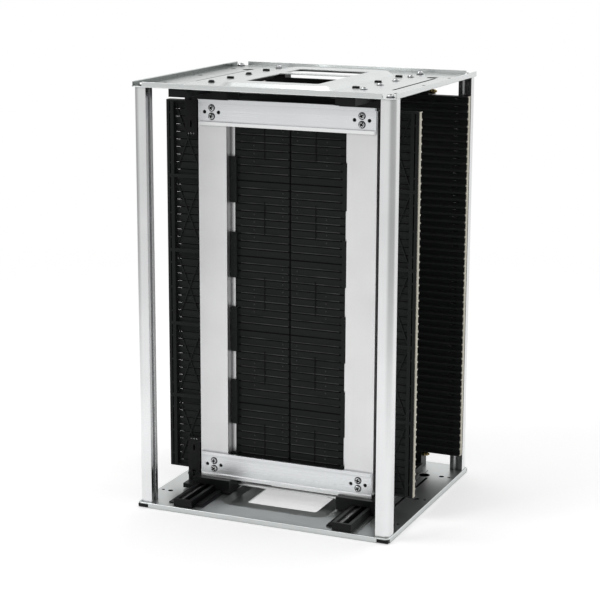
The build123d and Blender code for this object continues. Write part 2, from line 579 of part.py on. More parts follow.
def track(side):
    """Bottom track on the right (side 1) or left (side -1); the left one has a flange on both sides."""
    centre_x = side * TRACK_X
    with BuildPart() as channel:
        with BuildSketch(Plane.XY.offset(PLATE_HEIGHT)):
            with Locations((centre_x, track_mid_y)):
                Rectangle(2 * TRACK_HALF, track_length)
        extrude(amount=TRACK_HEIGHT)
        with BuildSketch(Plane.XY.offset(PLATE_HEIGHT)):
            with Locations((side * (TRACK_X - TRACK_HALF - flange_width / 2), flange_y)):
                Rectangle(flange_width, flange_length)
            if side < 0:
                outer_flange_x = -TRACK_X - TRACK_HALF - flange_width / 2
                with Locations((outer_flange_x, flange_front_y + outer_flange_length / 2)):
                    Rectangle(flange_width, outer_flange_length)
        extrude(amount=TRACK_FLANGE_THICKNESS)
        with BuildSketch(Plane.XY.offset(PLATE_HEIGHT + STRIP_SEAT_HEIGHT)):
            with Locations((centre_x + seat_left + STRIP_WIDTH / 2, track_mid_y)):
                Rectangle(STRIP_WIDTH, track_inside)
        extrude(amount=TRACK_HEIGHT, mode=Mode.SUBTRACT)
        with BuildSketch(Plane.XY.offset(PLATE_HEIGHT + TRACK_FLOOR)):
            with Locations((centre_x + (groove_left + groove_right) / 2, track_mid_y)):
                Rectangle(groove_right - groove_left, track_inside)
        extrude(amount=TRACK_HEIGHT, mode=Mode.SUBTRACT)
        # Rack teeth for the pinion
        with BuildSketch(Plane.XY.offset(flange_top_z)):
            with Locations((side * TEETH_X, flange_y)):
                Rectangle(TEETH_WIDTH, flange_length)
        extrude(amount=RACK_TIP_Z - flange_top_z)
        with BuildSketch(Plane.YZ.offset(side * TEETH_X)):
            with Locations(*gap_spots):
                tooth_gap_align = (Align.CENTER, Align.MIN)
                Trapezoid(gap_mouth_width, gap_height, 90 + PRESSURE_ANGLE, align=tooth_gap_align)
        extrude(amount=TEETH_WIDTH / 2, both=True, mode=Mode.SUBTRACT)
        with BuildSketch(Plane.XY.offset(PLATE_HEIGHT)):
            with Locations(*[(side * SLOT_ROW_X, y) for y in TRACK_SCREW_Y]):
                Circle(PLATE_SCREW_R + PLATE_SCREW_GAP)
        extrude(amount=TRACK_SCREW_DEPTH + PLATE_SCREW_GAP, mode=Mode.SUBTRACT)
    return channel.part


for side, hand in ((1, "right"), (-1, "left")):
    bottom_track = track(side)
    save(bottom_track, f"track_bottom_{hand}")
    save(mirrored(bottom_track, BOTTOM_TOP), f"track_top_{hand}")

# Wear strips: metal strips in the tracks, each with a notch at the front end
strip_length = track_inside - 2 * STRIP_END_GAP
strip_front_y = TRACK_FRONT_Y + TRACK_CAP + STRIP_END_GAP
with BuildPart() as wear_strips:
    with BuildSketch(Plane.XY.offset(PLATE_HEIGHT + STRIP_SEAT_HEIGHT)):
        for centre_x in (-TRACK_X, TRACK_X):
            strip_x = centre_x + seat_left + STRIP_WIDTH / 2
            with Locations((strip_x, track_mid_y)):
                Rectangle(STRIP_WIDTH, strip_length)
            with Locations((strip_x, strip_front_y + STRIP_NOTCH_LENGTH / 2)):
                Rectangle(STRIP_NOTCH_WIDTH, STRIP_NOTCH_LENGTH, mode=Mode.SUBTRACT)
    extrude(amount=STRIP_THICKNESS)
    mirror(about=BOTTOM_TOP)
save(wear_strips.part, "wear_strips")

# Carriage: straddles the track, holds the pinion, stands under the stile and reaches up the wing
slab_z = TRACK_TOP_Z + CARRIAGE_CLEARANCE
step_z = RAIL_Z - CARRIAGE_RAIL_GAP
foot_z = flange_top_z + CARRIAGE_FOOT_LIFT
outer_foot_top_z = foot_z + OUTER_FOOT_HEIGHT
inner_foot_x = TRACK_X - TRACK_HALF - CARRIAGE_CLEARANCE
outer_foot_x = TRACK_X + TRACK_HALF + CARRIAGE_CLEARANCE
slab_end_x = outer_foot_x + CARRIAGE_COLUMN
carriage_rear_y = CARRIAGE_Y + CARRIAGE_LENGTH / 2
upper_front_y = MOVABLE_TIP_Y - STILE_FRONT + CARRIAGE_RAIL_GAP
upper_y = (carriage_rear_y + upper_front_y) / 2
leg_x = (LEG_INNER_X + CARRIAGE_OUTER_X) / 2
leg_top_z = WALL_Z + LEG_REACH
pinion_width = TEETH_WIDTH - 2 * PINION_SIDE_GAP
ring_x = TEETH_X - pinion_width / 2 - CLIP_RING_PINION_GAP - CLIP_RING_WIDTH
pocket_x = ring_x - CLIP_RING_GAP
with BuildPart() as carriage:
    with BuildSketch(Plane.XY.offset(slab_z)):
        with Locations(((CARRIAGE_INNER_X + slab_end_x) / 2, CARRIAGE_Y)):
            Rectangle(slab_end_x - CARRIAGE_INNER_X, CARRIAGE_LENGTH)
    extrude(amount=step_z - slab_z)
    with BuildSketch(Plane.XY.offset(step_z)):
        with Locations(((CARRIAGE_INNER_X + STILE_OUTER_X) / 2, upper_y)):
            Rectangle(STILE_OUTER_X - CARRIAGE_INNER_X, carriage_rear_y - upper_front_y)
    extrude(amount=WALL_Z - step_z)
    with BuildSketch(Plane.XY.offset(foot_z)):
        with Locations(((CARRIAGE_INNER_X + inner_foot_x) / 2, CARRIAGE_Y)):
            Rectangle(inner_foot_x - CARRIAGE_INNER_X, CARRIAGE_LENGTH)
        with Locations(((outer_foot_x + slab_end_x) / 2, CARRIAGE_Y)):
            Rectangle(CARRIAGE_COLUMN, CARRIAGE_LENGTH)
    extrude(amount=slab_z - foot_z)
    with BuildSketch(Plane.XY.offset(foot_z)):
        with Locations(((CARRIAGE_OUTER_X + outer_foot_x) / 2, CARRIAGE_Y)):
            Rectangle(CARRIAGE_OUTER_X - outer_foot_x, CARRIAGE_LENGTH)
    extrude(amount=OUTER_FOOT_HEIGHT)
    # Leg up the outside of the wing, with two windows, a slot and a boss
    with BuildSketch(wall_plane(PANEL_DEPTH + LEG_GAP)):
        with Locations((leg_x, (outer_foot_top_z + leg_top_z) / 2)):
            Rectangle(CARRIAGE_OUTER_X - LEG_INNER_X, leg_top_z - outer_foot_top_z)
        with Locations((leg_x, LEG_WINDOW_Z)):
            with GridLocations(0, LEG_WINDOW_PITCH, 1, 2):
                Rectangle(LEG_WINDOW_WIDTH, LEG_WINDOW_HEIGHT, mode=Mode.SUBTRACT)
        with Locations((leg_x, leg_top_z - LEG_SLOT_DROP)):
            SlotOverall(LEG_SLOT_LENGTH, LEG_SLOT_WIDTH, rotation=90, mode=Mode.SUBTRACT)
    extrude(amount=LEG_THICKNESS)
    with BuildSketch(wall_plane(PANEL_DEPTH + LEG_GAP + LEG_THICKNESS)):
        with Locations((CARRIAGE_OUTER_X - LEG_BOSS_R, LEG_WINDOW_Z)):
            Circle(LEG_BOSS_R)
    extrude(amount=LEG_BOSS_HEIGHT)
    # Pinion pocket, passage for the rack and shaft bore
    with BuildSketch(Plane.XY.offset(foot_z)):
        with Locations(((pocket_x + inner_foot_x) / 2, SHAFT_Y)):
            Rectangle(inner_foot_x - pocket_x, 2 * (PINION_R + PINION_POCKET_GAP))
    extrude(amount=SHAFT_Z + PINION_R + PINION_POCKET_GAP - foot_z, mode=Mode.SUBTRACT)
    with BuildSketch(Plane.XY.offset(foot_z)):
        with Locations((TEETH_X, CARRIAGE_Y)):
            Rectangle(TEETH_WIDTH + 2 * CARRIAGE_CLEARANCE, CARRIAGE_LENGTH)
    extrude(amount=RACK_TIP_Z + CARRIAGE_CLEARANCE - foot_z, mode=Mode.SUBTRACT)
    with BuildSketch(shaft_plane(CARRIAGE_INNER_X)):
        Circle(SHAFT_R + SHAFT_RUNNING_GAP)
    extrude(amount=pocket_x - CARRIAGE_INNER_X, mode=Mode.SUBTRACT)
save_four(carriage.part, "carriage")

# Shaft: round bar that turns both pinions together, held endways by a ring beside each pinion
shaft_half = TEETH_X + pinion_width / 2 + SHAFT_END
with BuildPart() as shaft:
    with BuildSketch(shaft_plane(0)):
        Circle(SHAFT_R)
    extrude(amount=shaft_half, both=True)
save(shaft.part, "shaft_bottom")
save(mirrored(shaft.part, BOTTOM_TOP), "shaft_top")
with BuildPart() as right_ring:
    with BuildSketch(shaft_plane(ring_x)):
        Circle(CLIP_RING_R)
        Circle(SHAFT_R + PINION_SEAT_GAP, mode=Mode.SUBTRACT)
    extrude(amount=CLIP_RING_WIDTH)
with BuildPart() as shaft_rings:
    add(right_ring.part)
    mirror(about=LEFT_RIGHT)
save(shaft_rings.part, "shaft_rings_bottom")
save(mirrored(shaft_rings.part, BOTTOM_TOP), "shaft_rings_top")

# Pinion: involute teeth that run on the track's rack, with one tooth straight down in a gap
base_r = PITCH_R * cos(radians(PRESSURE_ANGLE))
root_r = PITCH_R - PINION_DEDENDUM


def involute(radius):
    """Involute function at a radius, zero at the base circle."""
    angle = acos(min(1.0, base_r / radius))
    return tan(angle) - angle


half_tooth = (RACK_PITCH - GEAR_BACKLASH) / 4 / PITCH_R
flank_radii = (base_r, PITCH_R, PINION_R)
flank_angles = [half_tooth + involute(PITCH_R) - involute(r) for r in flank_radii]
tooth_side = [(root_r, flank_angles[0]), *zip(flank_radii, flank_angles)]
pinion_outline = []
for tooth in range(PINION_TEETH):
    middle = -pi / 2 + 2 * pi * tooth / PINION_TEETH
    for radius, angle in tooth_side:
        pinion_outline.append((radius * cos(middle - angle), radius * sin(middle - angle)))
    for radius, angle in reversed(tooth_side):
        pinion_outline.append((radius * cos(middle + angle), radius * sin(middle + angle)))
with BuildPart() as pinion:
    with BuildSketch(shaft_plane(TEETH_X)):
        with BuildLine():
            Polyline(*pinion_outline, close=True)
        make_face()
        Circle(SHAFT_R + PINION_SEAT_GAP, mode=Mode.SUBTRACT)
    extrude(amount=pinion_width / 2, both=True)
save_four(pinion.part, "pinion")

# Feet: stand the fixed wall on the base plate and hang it from the top plate, joined by a bar
foot_x = STILE_OUTER_X - FOOT_END_SETBACK - FOOT_LENGTH / 2
foot_width = STILE_FRONT - CARRIAGE_RAIL_GAP
foot_height = WALL_Z - PLATE_HEIGHT
recess_length = FOOT_LENGTH - 2 * FOOT_RECESS_BORDER
recess_height = foot_height - 2 * FOOT_RECESS_BORDER
foot_mid_y = FIXED_TIP_Y + foot_width / 2
with BuildPart() as right_foot:
    with BuildSketch(Plane.XY.offset(PLATE_HEIGHT)):
        with Locations((foot_x, foot_mid_y)):
            Rectangle(FOOT_LENGTH, foot_width)
    extrude(amount=foot_height)
    with BuildSketch(Plane.XZ.offset(-FIXED_TIP_Y)):
        with Locations((foot_x, (PLATE_HEIGHT + WALL_Z) / 2)):
            Rectangle(recess_length, recess_height)
    extrude(amount=-FOOT_RECESS_DEPTH, mode=Mode.SUBTRACT)
    with BuildSketch(Plane.XY.offset(PLATE_HEIGHT)):
        with Locations((FOOT_SCREW_X, FOOT_Y)):
            Circle(PLATE_SCREW_R + PLATE_SCREW_GAP)
    extrude(amount=FOOT_SCREW_DEPTH + PLATE_SCREW_GAP, mode=Mode.SUBTRACT)
with BuildPart() as feet:
    add(right_foot.part)
    mirror(about=LEFT_RIGHT)
    with BuildSketch(Plane.XY.offset(WALL_Z)):
        with Locations((0, FIXED_TIP_Y + FOOT_BAR_THICKNESS / 2)):
            Rectangle(2 * foot_x - FOOT_LENGTH, FOOT_BAR_THICKNESS)
    extrude(amount=-FOOT_BAR_HEIGHT)
save(feet.part, "fixed_feet_bottom")
save(mirrored(feet.part, BOTTOM_TOP), "fixed_feet_top")

# Plate screws: hold the feet and the tracks to the plates
foot_screw_spots = [(side * FOOT_SCREW_X, FOOT_Y) for side in (-1, 1)]
track_screw_spots = [(x, y) for x in (-SLOT_ROW_X, SLOT_ROW_X) for y in TRACK_SCREW_Y]
with BuildPart() as bottom_plate_screws:
    with BuildSketch(Plane.XY.offset(PLATE_HEIGHT - SHEET)):
        with Locations(*foot_screw_spots):
            Circle(PLATE_HEAD_R)
    extrude(amount=-FOOT_HEAD_HEIGHT)
    with BuildSketch(Plane.XY.offset(PLATE_HEIGHT - SHEET)):
        with Locations(*track_screw_spots):
            Circle(PLATE_HEAD_R)
    extrude(amount=-PLATE_HEAD_HEIGHT)
    with BuildSketch(Plane.XY.offset(PLATE_HEIGHT - SHEET)):
        with Locations(*foot_screw_spots):
            Circle(PLATE_SCREW_R)
    extrude(amount=SHEET + FOOT_SCREW_DEPTH)
    with BuildSketch(Plane.XY.offset(PLATE_HEIGHT - SHEET)):
        with Locations(*track_screw_spots):
            Circle(PLATE_SCREW_R)
    extrude(amount=SHEET + TRACK_SCREW_DEPTH)
with BuildPart() as plate_screws:
    add(bottom_plate_screws.part)
    mirror(about=BOTTOM_TOP)
save(plate_screws.part, "plate_screws")
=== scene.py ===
from math import pi, radians

import bmesh
import bpy
from mathutils import Matrix, Vector


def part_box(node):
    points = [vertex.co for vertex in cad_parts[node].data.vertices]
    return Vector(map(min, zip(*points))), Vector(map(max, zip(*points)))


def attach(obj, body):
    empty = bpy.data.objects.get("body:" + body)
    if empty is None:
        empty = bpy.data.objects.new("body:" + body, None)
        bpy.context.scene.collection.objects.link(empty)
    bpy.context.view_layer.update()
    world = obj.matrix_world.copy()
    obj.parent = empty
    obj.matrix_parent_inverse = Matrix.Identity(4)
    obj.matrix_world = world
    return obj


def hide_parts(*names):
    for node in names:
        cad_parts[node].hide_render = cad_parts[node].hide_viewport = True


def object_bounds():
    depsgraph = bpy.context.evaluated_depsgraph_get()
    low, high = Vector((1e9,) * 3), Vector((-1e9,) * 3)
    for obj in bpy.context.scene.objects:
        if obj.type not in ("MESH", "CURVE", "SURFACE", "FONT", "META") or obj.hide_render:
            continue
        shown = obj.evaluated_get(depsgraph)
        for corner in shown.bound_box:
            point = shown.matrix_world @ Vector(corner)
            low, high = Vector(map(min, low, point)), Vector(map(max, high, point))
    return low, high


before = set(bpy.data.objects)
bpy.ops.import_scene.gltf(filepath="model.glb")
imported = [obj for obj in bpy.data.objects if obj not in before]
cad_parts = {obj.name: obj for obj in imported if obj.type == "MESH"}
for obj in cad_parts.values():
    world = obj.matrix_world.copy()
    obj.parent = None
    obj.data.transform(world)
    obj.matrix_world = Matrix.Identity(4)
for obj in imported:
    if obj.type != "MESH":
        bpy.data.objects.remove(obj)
cad_low, cad_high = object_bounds()


# Base and top plates: pressed from zinc-plated steel sheet with turned edges and a pan in the middle,
# satin grey with rolled lines along X. Press grooves beside the tracks and the walls of the punched
# holes carry painted black shade, and the top plate carries a painted dark reflection past its left groove.
def add_node(material, kind, sockets=None, **settings):
    """Add a shader node; sockets maps an input to a value or to the output that feeds it."""
    node = material.node_tree.nodes.new(kind)
    for setting, value in settings.items():
        setattr(node, setting, value)
    for socket, value in (sockets or {}).items():
        if isinstance(value, bpy.types.NodeSocket):
            material.node_tree.links.new(value, node.inputs[socket])
        else:
            node.inputs[socket].default_value = value
    return node


def combine(material, operation, first, second=0.0, third=0.0):
    """One arithmetic step on values or sockets."""
    sockets = {0: first, 1: second, 2: third}
    return add_node(material, "ShaderNodeMath", sockets, operation=operation).outputs[0]


def absolute(material, value):
    """Size of a value without its sign."""
    return combine(material, "ABSOLUTE", value)


def overlap(material, *masks):
    """Mask that is 1 where all the masks are 1."""
    shared = masks[0]
    for mask in masks[1:]:
        shared = combine(material, "MULTIPLY", shared, mask)
    return shared


def dot_product(material, first, second):
    """Dot product of two directions."""
    sockets = {0: first, 1: second}
    return add_node(material, "ShaderNodeVectorMath", sockets, operation="DOT_PRODUCT").outputs["Value"]


def axes(material):
    """X, Y and Z of a point in the piece's own coordinates."""
    place = add_node(material, "ShaderNodeTexCoord").outputs["Object"]
    split = add_node(material, "ShaderNodeSeparateXYZ", {0: place}).outputs
    return split["X"], split["Y"], split["Z"]


def upward(material):
    """Z of the surface's normal: 1 on what faces up, 0 on a wall."""
    normal = add_node(material, "ShaderNodeNewGeometry").outputs["Normal"]
    return add_node(material, "ShaderNodeSeparateXYZ", {0: normal}).outputs["Z"]


def grain(material, stretch, detail=3.0):
    """Noise in the piece's own coordinates; a small stretch along an axis draws it out that way."""
    place = add_node(material, "ShaderNodeTexCoord").outputs["Object"]
    drawn = add_node(material, "ShaderNodeMapping", {"Vector": place, "Scale": stretch}).outputs[0]
    noise = add_node(material, "ShaderNodeTexNoise", {"Vector": drawn, "Scale": 1.0, "Detail": detail})
    return noise.outputs["Fac"]


def ranged(material, value, low, high, start=0.3, end=0.7):
    """Spread a value between start and end over low to high."""
    sockets = {"Value": value, "From Min": start, "From Max": end, "To Min": low, "To Max": high}
    return add_node(material, "ShaderNodeMapRange", sockets).outputs["Result"]


def around(middle, half):
    """Limits of a stretch that reaches half its length to each side of its middle."""
    return middle - half, middle + half


def band(material, place, low, high, fade):
    """1 where the place lies between low and high, and 0 past a short fade outside them."""
    after = ranged(material, place, 0.0, 1.0, start=low - fade, end=low)
    before = ranged(material, place, 1.0, 0.0, start=high, end=high + fade)
    return overlap(material, after, before)


def blended(material, factor, first, second):
    """Colour that runs from the first to the second as the factor goes from 0 to 1."""
    colours = [c if isinstance(c, bpy.types.NodeSocket) else (*c, 1.0) for c in (first, second)]
    sockets = {0: factor, 6: colours[0], 7: colours[1]}
    return add_node(material, "ShaderNodeMix", sockets, data_type="RGBA").outputs[2]


def broken_edge(material, radius):
    """Normal of edges that are rounded by that radius, and a mask that is 1 along them."""
    rounded = add_node(material, "ShaderNodeBevel", {"Radius": radius}, samples=4).outputs["Normal"]
    flat = add_node(material, "ShaderNodeNewGeometry").outputs["Normal"]
    aligned = dot_product(material, rounded, flat)
    return rounded, ranged(material, aligned, 1.0, 0.0, start=0.80, end=0.99)


def metal(name, colour, roughness, stretch, line_depth, edge=0.0006, corner_shade_level=0.45):
    """Metal with fine lines drawn along the axis of the smallest stretch, cloudy patches, edges made
    lighter by wear and a painted highlight, and painted shade in the corners from ambient occlusion."""
    cloud_scale = (14.0, 14.0, 14.0)
    cloud_dulling = 0.93
    edge_brightening = 1.08
    corner_reach = 0.005
    roughness_spread = 0.05
    material = bpy.data.materials.new(name)
    material.use_nodes = True
    shader = material.node_tree.nodes["Principled BSDF"]
    shader.inputs["Metallic"].default_value = 1.0
    lines = grain(material, stretch, 4.0)
    clouds = grain(material, cloud_scale, 2.0)
    rounded, worn_and_lit_edge = broken_edge(material, edge)
    dull = tuple(cloud_dulling * channel for channel in colour)
    bright = tuple(min(1.0, edge_brightening * channel) for channel in colour)
    patchy = blended(material, ranged(material, clouds, 0.0, 1.0), dull, colour)
    # The edges are lighter: partly wear, partly a painted highlight.
    edged = blended(material, worn_and_lit_edge, patchy, bright)
    # Painted shade: ambient occlusion darkens the colour in corners and where parts meet.
    corner = add_node(material, "ShaderNodeAmbientOcclusion", {"Distance": corner_reach}, samples=6)
    corner_shade_mask = ranged(material, corner.outputs["AO"], 1.0, 0.0, start=0.25, end=0.85)
    shaded_corner_colour = tuple(corner_shade_level * channel for channel in colour)
    links = material.node_tree.links
    links.new(blended(material, corner_shade_mask, edged, shaded_corner_colour), shader.inputs["Base Color"])
    streaked = ranged(material, lines, *around(roughness, roughness_spread))
    links.new(streaked, shader.inputs["Roughness"])
    bump_sockets = {"Height": lines, "Distance": line_depth, "Normal": rounded}
    bump = add_node(material, "ShaderNodeBump", bump_sockets)
    links.new(bump.outputs["Normal"], shader.inputs["Normal"])
    return material


def tint_over(material, mask, colour):
    """Lay another colour over a finish where the mask is 1."""
    shader = material.node_tree.nodes["Principled BSDF"]
    under = shader.inputs["Base Color"].links[0].from_socket
    material.node_tree.links.new(blended(material, mask, under, colour), shader.inputs["Base Color"])


def matt_where(material, mask):
    """Take the shine off a metal where the mask is 1, as down in a narrow groove."""
    shader = material.node_tree.nodes["Principled BSDF"]
    shader.inputs["Specular IOR Level"].default_value = 0.0
    links = material.node_tree.links
    links.new(combine(material, "SUBTRACT", 1.0, mask), shader.inputs["Metallic"])


def dress(material, *names):
    """Put a finish on CAD nodes."""
    for name in names:
        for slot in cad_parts[name].material_slots:
            slot.material = material


plate_finishes = (("base_plate", (0.62, 0.645, 0.64), 0.36), ("top_plate", (0.735, 0.76, 0.755), 0.27))
rolled_lines = (7.0, 1300.0, 1300.0)
left_groove_x = -0.129
right_groove_x = 0.141
groove_lines = ((left_groove_x, 0.0008, -0.072, 0.088), (right_groove_x, 0.0017, -0.069, 0.090))
groove_fade = 0.0003
painted_shade_black = (0.012, 0.012, 0.012)
painted_reflection_grey = (0.20, 0.22, 0.21)
darkest_reflection_x = cad_low.x + 0.006
faintest_reflection_x = left_groove_x - 0.010
turned_edge = 0.0020
rim_top = 0.0006
punched_low_x = 0.080
punched_high_x = 0.170
punched_high_y = 0.148
for plate, sheet_colour, sheet_roughness in plate_finishes:
    sheet_finish = metal(f"zinc_sheet_{plate}", sheet_colour, sheet_roughness, rolled_lines, 0.000006)
    sheet_x, sheet_y, sheet_z = axes(sheet_finish)
    if plate == "top_plate":
        # Painted reflection: past its left groove the top plate is tinted dark, as if it mirrored its
        # turned edge.
        towards_rim = ranged(sheet_finish, sheet_x, 1.0, 0.2, start=darkest_reflection_x, end=faintest_reflection_x)
        past_groove = band(sheet_finish, sheet_x, cad_low.x, left_groove_x, 0.0015)
        front_edge_y = cad_low.y + turned_edge
        rear_edge_y = cad_high.y - turned_edge
        between_edges = band(sheet_finish, sheet_y, front_edge_y, rear_edge_y, 0.0005)
        rim_z = cad_high.z - rim_top
        below_rim = ranged(sheet_finish, sheet_z, 1.0, 0.0, start=rim_z - rim_top, end=rim_z)
        painted_edge_reflection = overlap(sheet_finish, towards_rim, past_groove, between_edges, below_rim)
        tint_over(sheet_finish, painted_edge_reflection, painted_reflection_grey)
    beside = absolute(sheet_finish, sheet_x)
    out_from_middle = absolute(sheet_finish, sheet_y)
    side_field = band(sheet_finish, beside, punched_low_x, punched_high_x, 0.001)
    off_edges = ranged(
        sheet_finish, out_from_middle, 1.0, 0.0, start=punched_high_y, end=punched_high_y + 0.002)
    levelness = absolute(sheet_finish, upward(sheet_finish))
    standing = ranged(sheet_finish, levelness, 1.0, 0.0, start=0.1, end=0.3)
    # Painted shade: the walls of the punched holes and the press grooves are tinted black and made matt.
    painted_groove_and_hole_shade = overlap(sheet_finish, side_field, off_edges, standing)
    for line_x, half_width, front_y, rear_y in groove_lines:
        line_across = band(sheet_finish, sheet_x, *around(line_x, half_width), groove_fade)
        line_along = band(sheet_finish, sheet_y, front_y, rear_y, groove_fade)
        groove = overlap(sheet_finish, line_across, line_along)
        painted_groove_and_hole_shade = combine(sheet_finish, "MAXIMUM", painted_groove_and_hole_shade, groove)
    tint_over(sheet_finish, painted_groove_and_hole_shade, painted_shade_black)
    matt_where(sheet_finish, painted_groove_and_hole_shade)
    dress(sheet_finish, plate)


# Corner posts: extruded aluminium, clear anodised, round on the outer corner and grooved inside.
# The die drew fine lines up the whole length.
post_finish = metal("drawn_post_aluminium", (0.80, 0.805, 0.81), 0.20, (1500.0, 1500.0, 5.0), 0.000005)
dress(post_finish, *[f"post_{row}_{hand}" for row in ("front", "rear") for hand in ("left", "right")])


# Post screws: zinc-plated pan heads, stamped and rolled; the cross recess and a ring below are painted
# shade.
# One goes through each plate corner into a post, and its head shows between the turned edges.
def pan_head_screw(shape, place, head_radius, head_height, shank_radius, shank_length, plating=0):
    """Model one screw with its head up and its seat at the origin, then turn it into place. The recess
    and the washer ring take the second finish of the piece, which is painted shade."""
    shade_finish = 1
    arm_reach = 0.66 * head_radius
    arm_half = 0.23 * head_radius
    crown_radius = 0.70 * head_radius
    recess_taper = 0.72
    recess_depth = 0.75 * head_height
    old_verts = set(shape.verts)
    old_faces = set(shape.faces)
    bmesh.ops.create_grid(shape, x_segments=5, y_segments=5, size=1.0)
    crown = [vert for vert in shape.verts if vert not in old_verts]
    grid_steps = {1: arm_half, 3: arm_reach}
    for vert in crown:
        if round(5 * max(abs(vert.co.x), abs(vert.co.y))) == 5:
            vert.co = crown_radius * vert.co.normalized()
        else:
            vert.co.x = grid_steps[round(5 * abs(vert.co.x))] * (1 if vert.co.x > 0 else -1)
            vert.co.y = grid_steps[round(5 * abs(vert.co.y))] * (1 if vert.co.y > 0 else -1)
        vert.co.z = head_height
    cross = []
    for face in shape.faces:
        middle = face.calc_center_median().xy
        on_arm = min(abs(middle.x), abs(middle.y)) < arm_half / 2 and middle.length < arm_reach
        if on_arm and face not in old_faces:
            cross.append(face)
    sunk = bmesh.ops.extrude_face_region(shape, geom=cross)["geom"]
    bmesh.ops.delete(shape, geom=cross, context="FACES_ONLY")
    recess_floor = [item for item in sunk if isinstance(item, bmesh.types.BMVert)]
    bmesh.ops.scale(shape, vec=(recess_taper, recess_taper, 1.0), verts=recess_floor)
    bmesh.ops.translate(shape, vec=(0.0, 0.0, -recess_depth), verts=recess_floor)
    for face in shape.faces:
        if face not in old_faces:
            middle = face.calc_center_median()
            in_recess = middle.xy.length < arm_reach and middle.z < 0.97 * head_height
            face.material_index = shade_finish if in_recess else plating
    rim = [edge for edge in shape.edges if edge.is_boundary and edge.verts[0] not in old_verts]
    radius = crown_radius
    # The last two rings form a thin washer ring under the head, in painted shade.
    steps_down = (
        (0.88, 0.84, plating), (0.98, 0.55, plating), (1.0, 0.14, plating),
        (1.18, 0.12, shade_finish), (1.18, 0.0, shade_finish))
    for share, height, finish in steps_down:
        grown = bmesh.ops.extrude_edge_only(shape, edges=rim)["geom"]
        for face in (item for item in grown if isinstance(item, bmesh.types.BMFace)):
            face.material_index = finish
        ring = [item for item in grown if isinstance(item, bmesh.types.BMVert)]
        scale = share * head_radius / radius
        bmesh.ops.scale(shape, vec=(scale, scale, 1.0), verts=ring)
        for vert in ring:
            vert.co.z = height * head_height
        radius = share * head_radius
        rim = [item for item in grown if isinstance(item, bmesh.types.BMEdge) and item.is_boundary]
    bmesh.ops.holes_fill(shape, edges=rim)
    shank_middle = Matrix.Translation((0.0, 0.0, -shank_length / 2))
    bmesh.ops.create_cone(
        shape, cap_ends=True, segments=16, radius1=shank_radius, radius2=shank_radius,
        depth=shank_length, matrix=shank_middle)
    made = [vert for vert in shape.verts if vert not in old_verts]
    bmesh.ops.transform(shape, matrix=place, verts=made)


def screw_place(spot, tip, turn):
    """Place of a screw that is tipped over about X, with its cross turned by an angle."""
    return Matrix.Translation(spot) @ Matrix.Rotation(tip, 4, "X") @ Matrix.Rotation(turn, 4, "Z")


def add_piece(name, shape, materials, body):
    """Turn a finished bmesh into a piece that rides on a body."""
    bmesh.ops.recalc_face_normals(shape, faces=shape.faces)
    mesh = bpy.data.meshes.new(name)
    shape.to_mesh(mesh)
    shape.free()
    for material in materials:
        mesh.materials.append(material)
    piece = bpy.data.objects.new(name, mesh)
    bpy.context.scene.collection.objects.link(piece)
    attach(piece, body)
    return piece


screw_zinc = metal(
    "zinc_plated_screw", (0.66, 0.67, 0.68), 0.18, (300.0, 300.0, 300.0), 0.000006, edge=0.0002, corner_shade_level=0.2)
# Painted shade: the cross recesses and the washer rings are nearly black.
recess_painted_shade = metal(
    "screw_recess_painted_shade", (0.02, 0.02, 0.021), 0.45, (500.0, 500.0, 500.0), 0.00001, edge=0.0002, corner_shade_level=0.3)
recess_shader = recess_painted_shade.node_tree.nodes["Principled BSDF"]
recess_shader.inputs["Metallic"].default_value = 0.0
recess_shader.inputs["Specular IOR Level"].default_value = 0.05
post_head_radius = 0.0046
post_head_height = 0.0036
post_shank_radius = 0.0025
post_shank_length = 0.0175
low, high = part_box("post_screws")
shape = bmesh.new()
turn = radians(10.0)
for x in (low.x + post_head_radius, high.x - post_head_radius):
    for y in (low.y + post_head_radius, high.y - post_head_radius):
        for seat_z, tip in ((low.z + post_head_height, pi), (high.z - post_head_height, 0.0)):
            turn += 0.7
            place = screw_place((x, y, seat_z), tip, turn)
            pan_head_screw(
                shape, place, post_head_radius, post_head_height, post_shank_radius, post_shank_length)
post_screws = add_piece("post_cross_screws", shape, (screw_zinc, recess_painted_shade), "frame")
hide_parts("post_screws")


# Wall frames: anodised aluminium stiles and rails, drawn lengthwise, so the lines stand upright on
# the stiles and lie along X on the rails. Painted highlight lies on each rail's lower lip, painted shade
# on its upper web and in the corner beside each stile. Two screws hold each end of a rail to its stile.
walls = ("movable", "fixed")
wall_sides = (("movable", "movable_wall", -1.0), ("fixed", "frame", 1.0))
stile_finish = metal("drawn_stile_aluminium", (0.84, 0.84, 0.845), 0.45, (1200.0, 1200.0, 4.0), 0.000006)
stile_inner_x = 0.0840
flange_length = 0.0062
corner_gap = 0.0002
painted_stile_shade = (0.16, 0.16, 0.165)
# Painted shade: the corner beside the stile's inner flange is tinted dark.
stile_across = absolute(stile_finish, axes(stile_finish)[0])
shade_start_x = stile_inner_x - 0.8 * flange_length
into_corner = ranged(
    stile_finish, stile_across, 0.0, 1.0, start=shade_start_x, end=stile_inner_x - corner_gap)
on_flange = ranged(
    stile_finish, stile_across, 1.0, 0.0, start=stile_inner_x - corner_gap / 2, end=stile_inner_x)
tint_over(stile_finish, overlap(stile_finish, into_corner, on_flange), painted_stile_shade)
dress(stile_finish, *[f"{wall}_stile_{hand}" for wall in walls for hand in ("left", "right")])

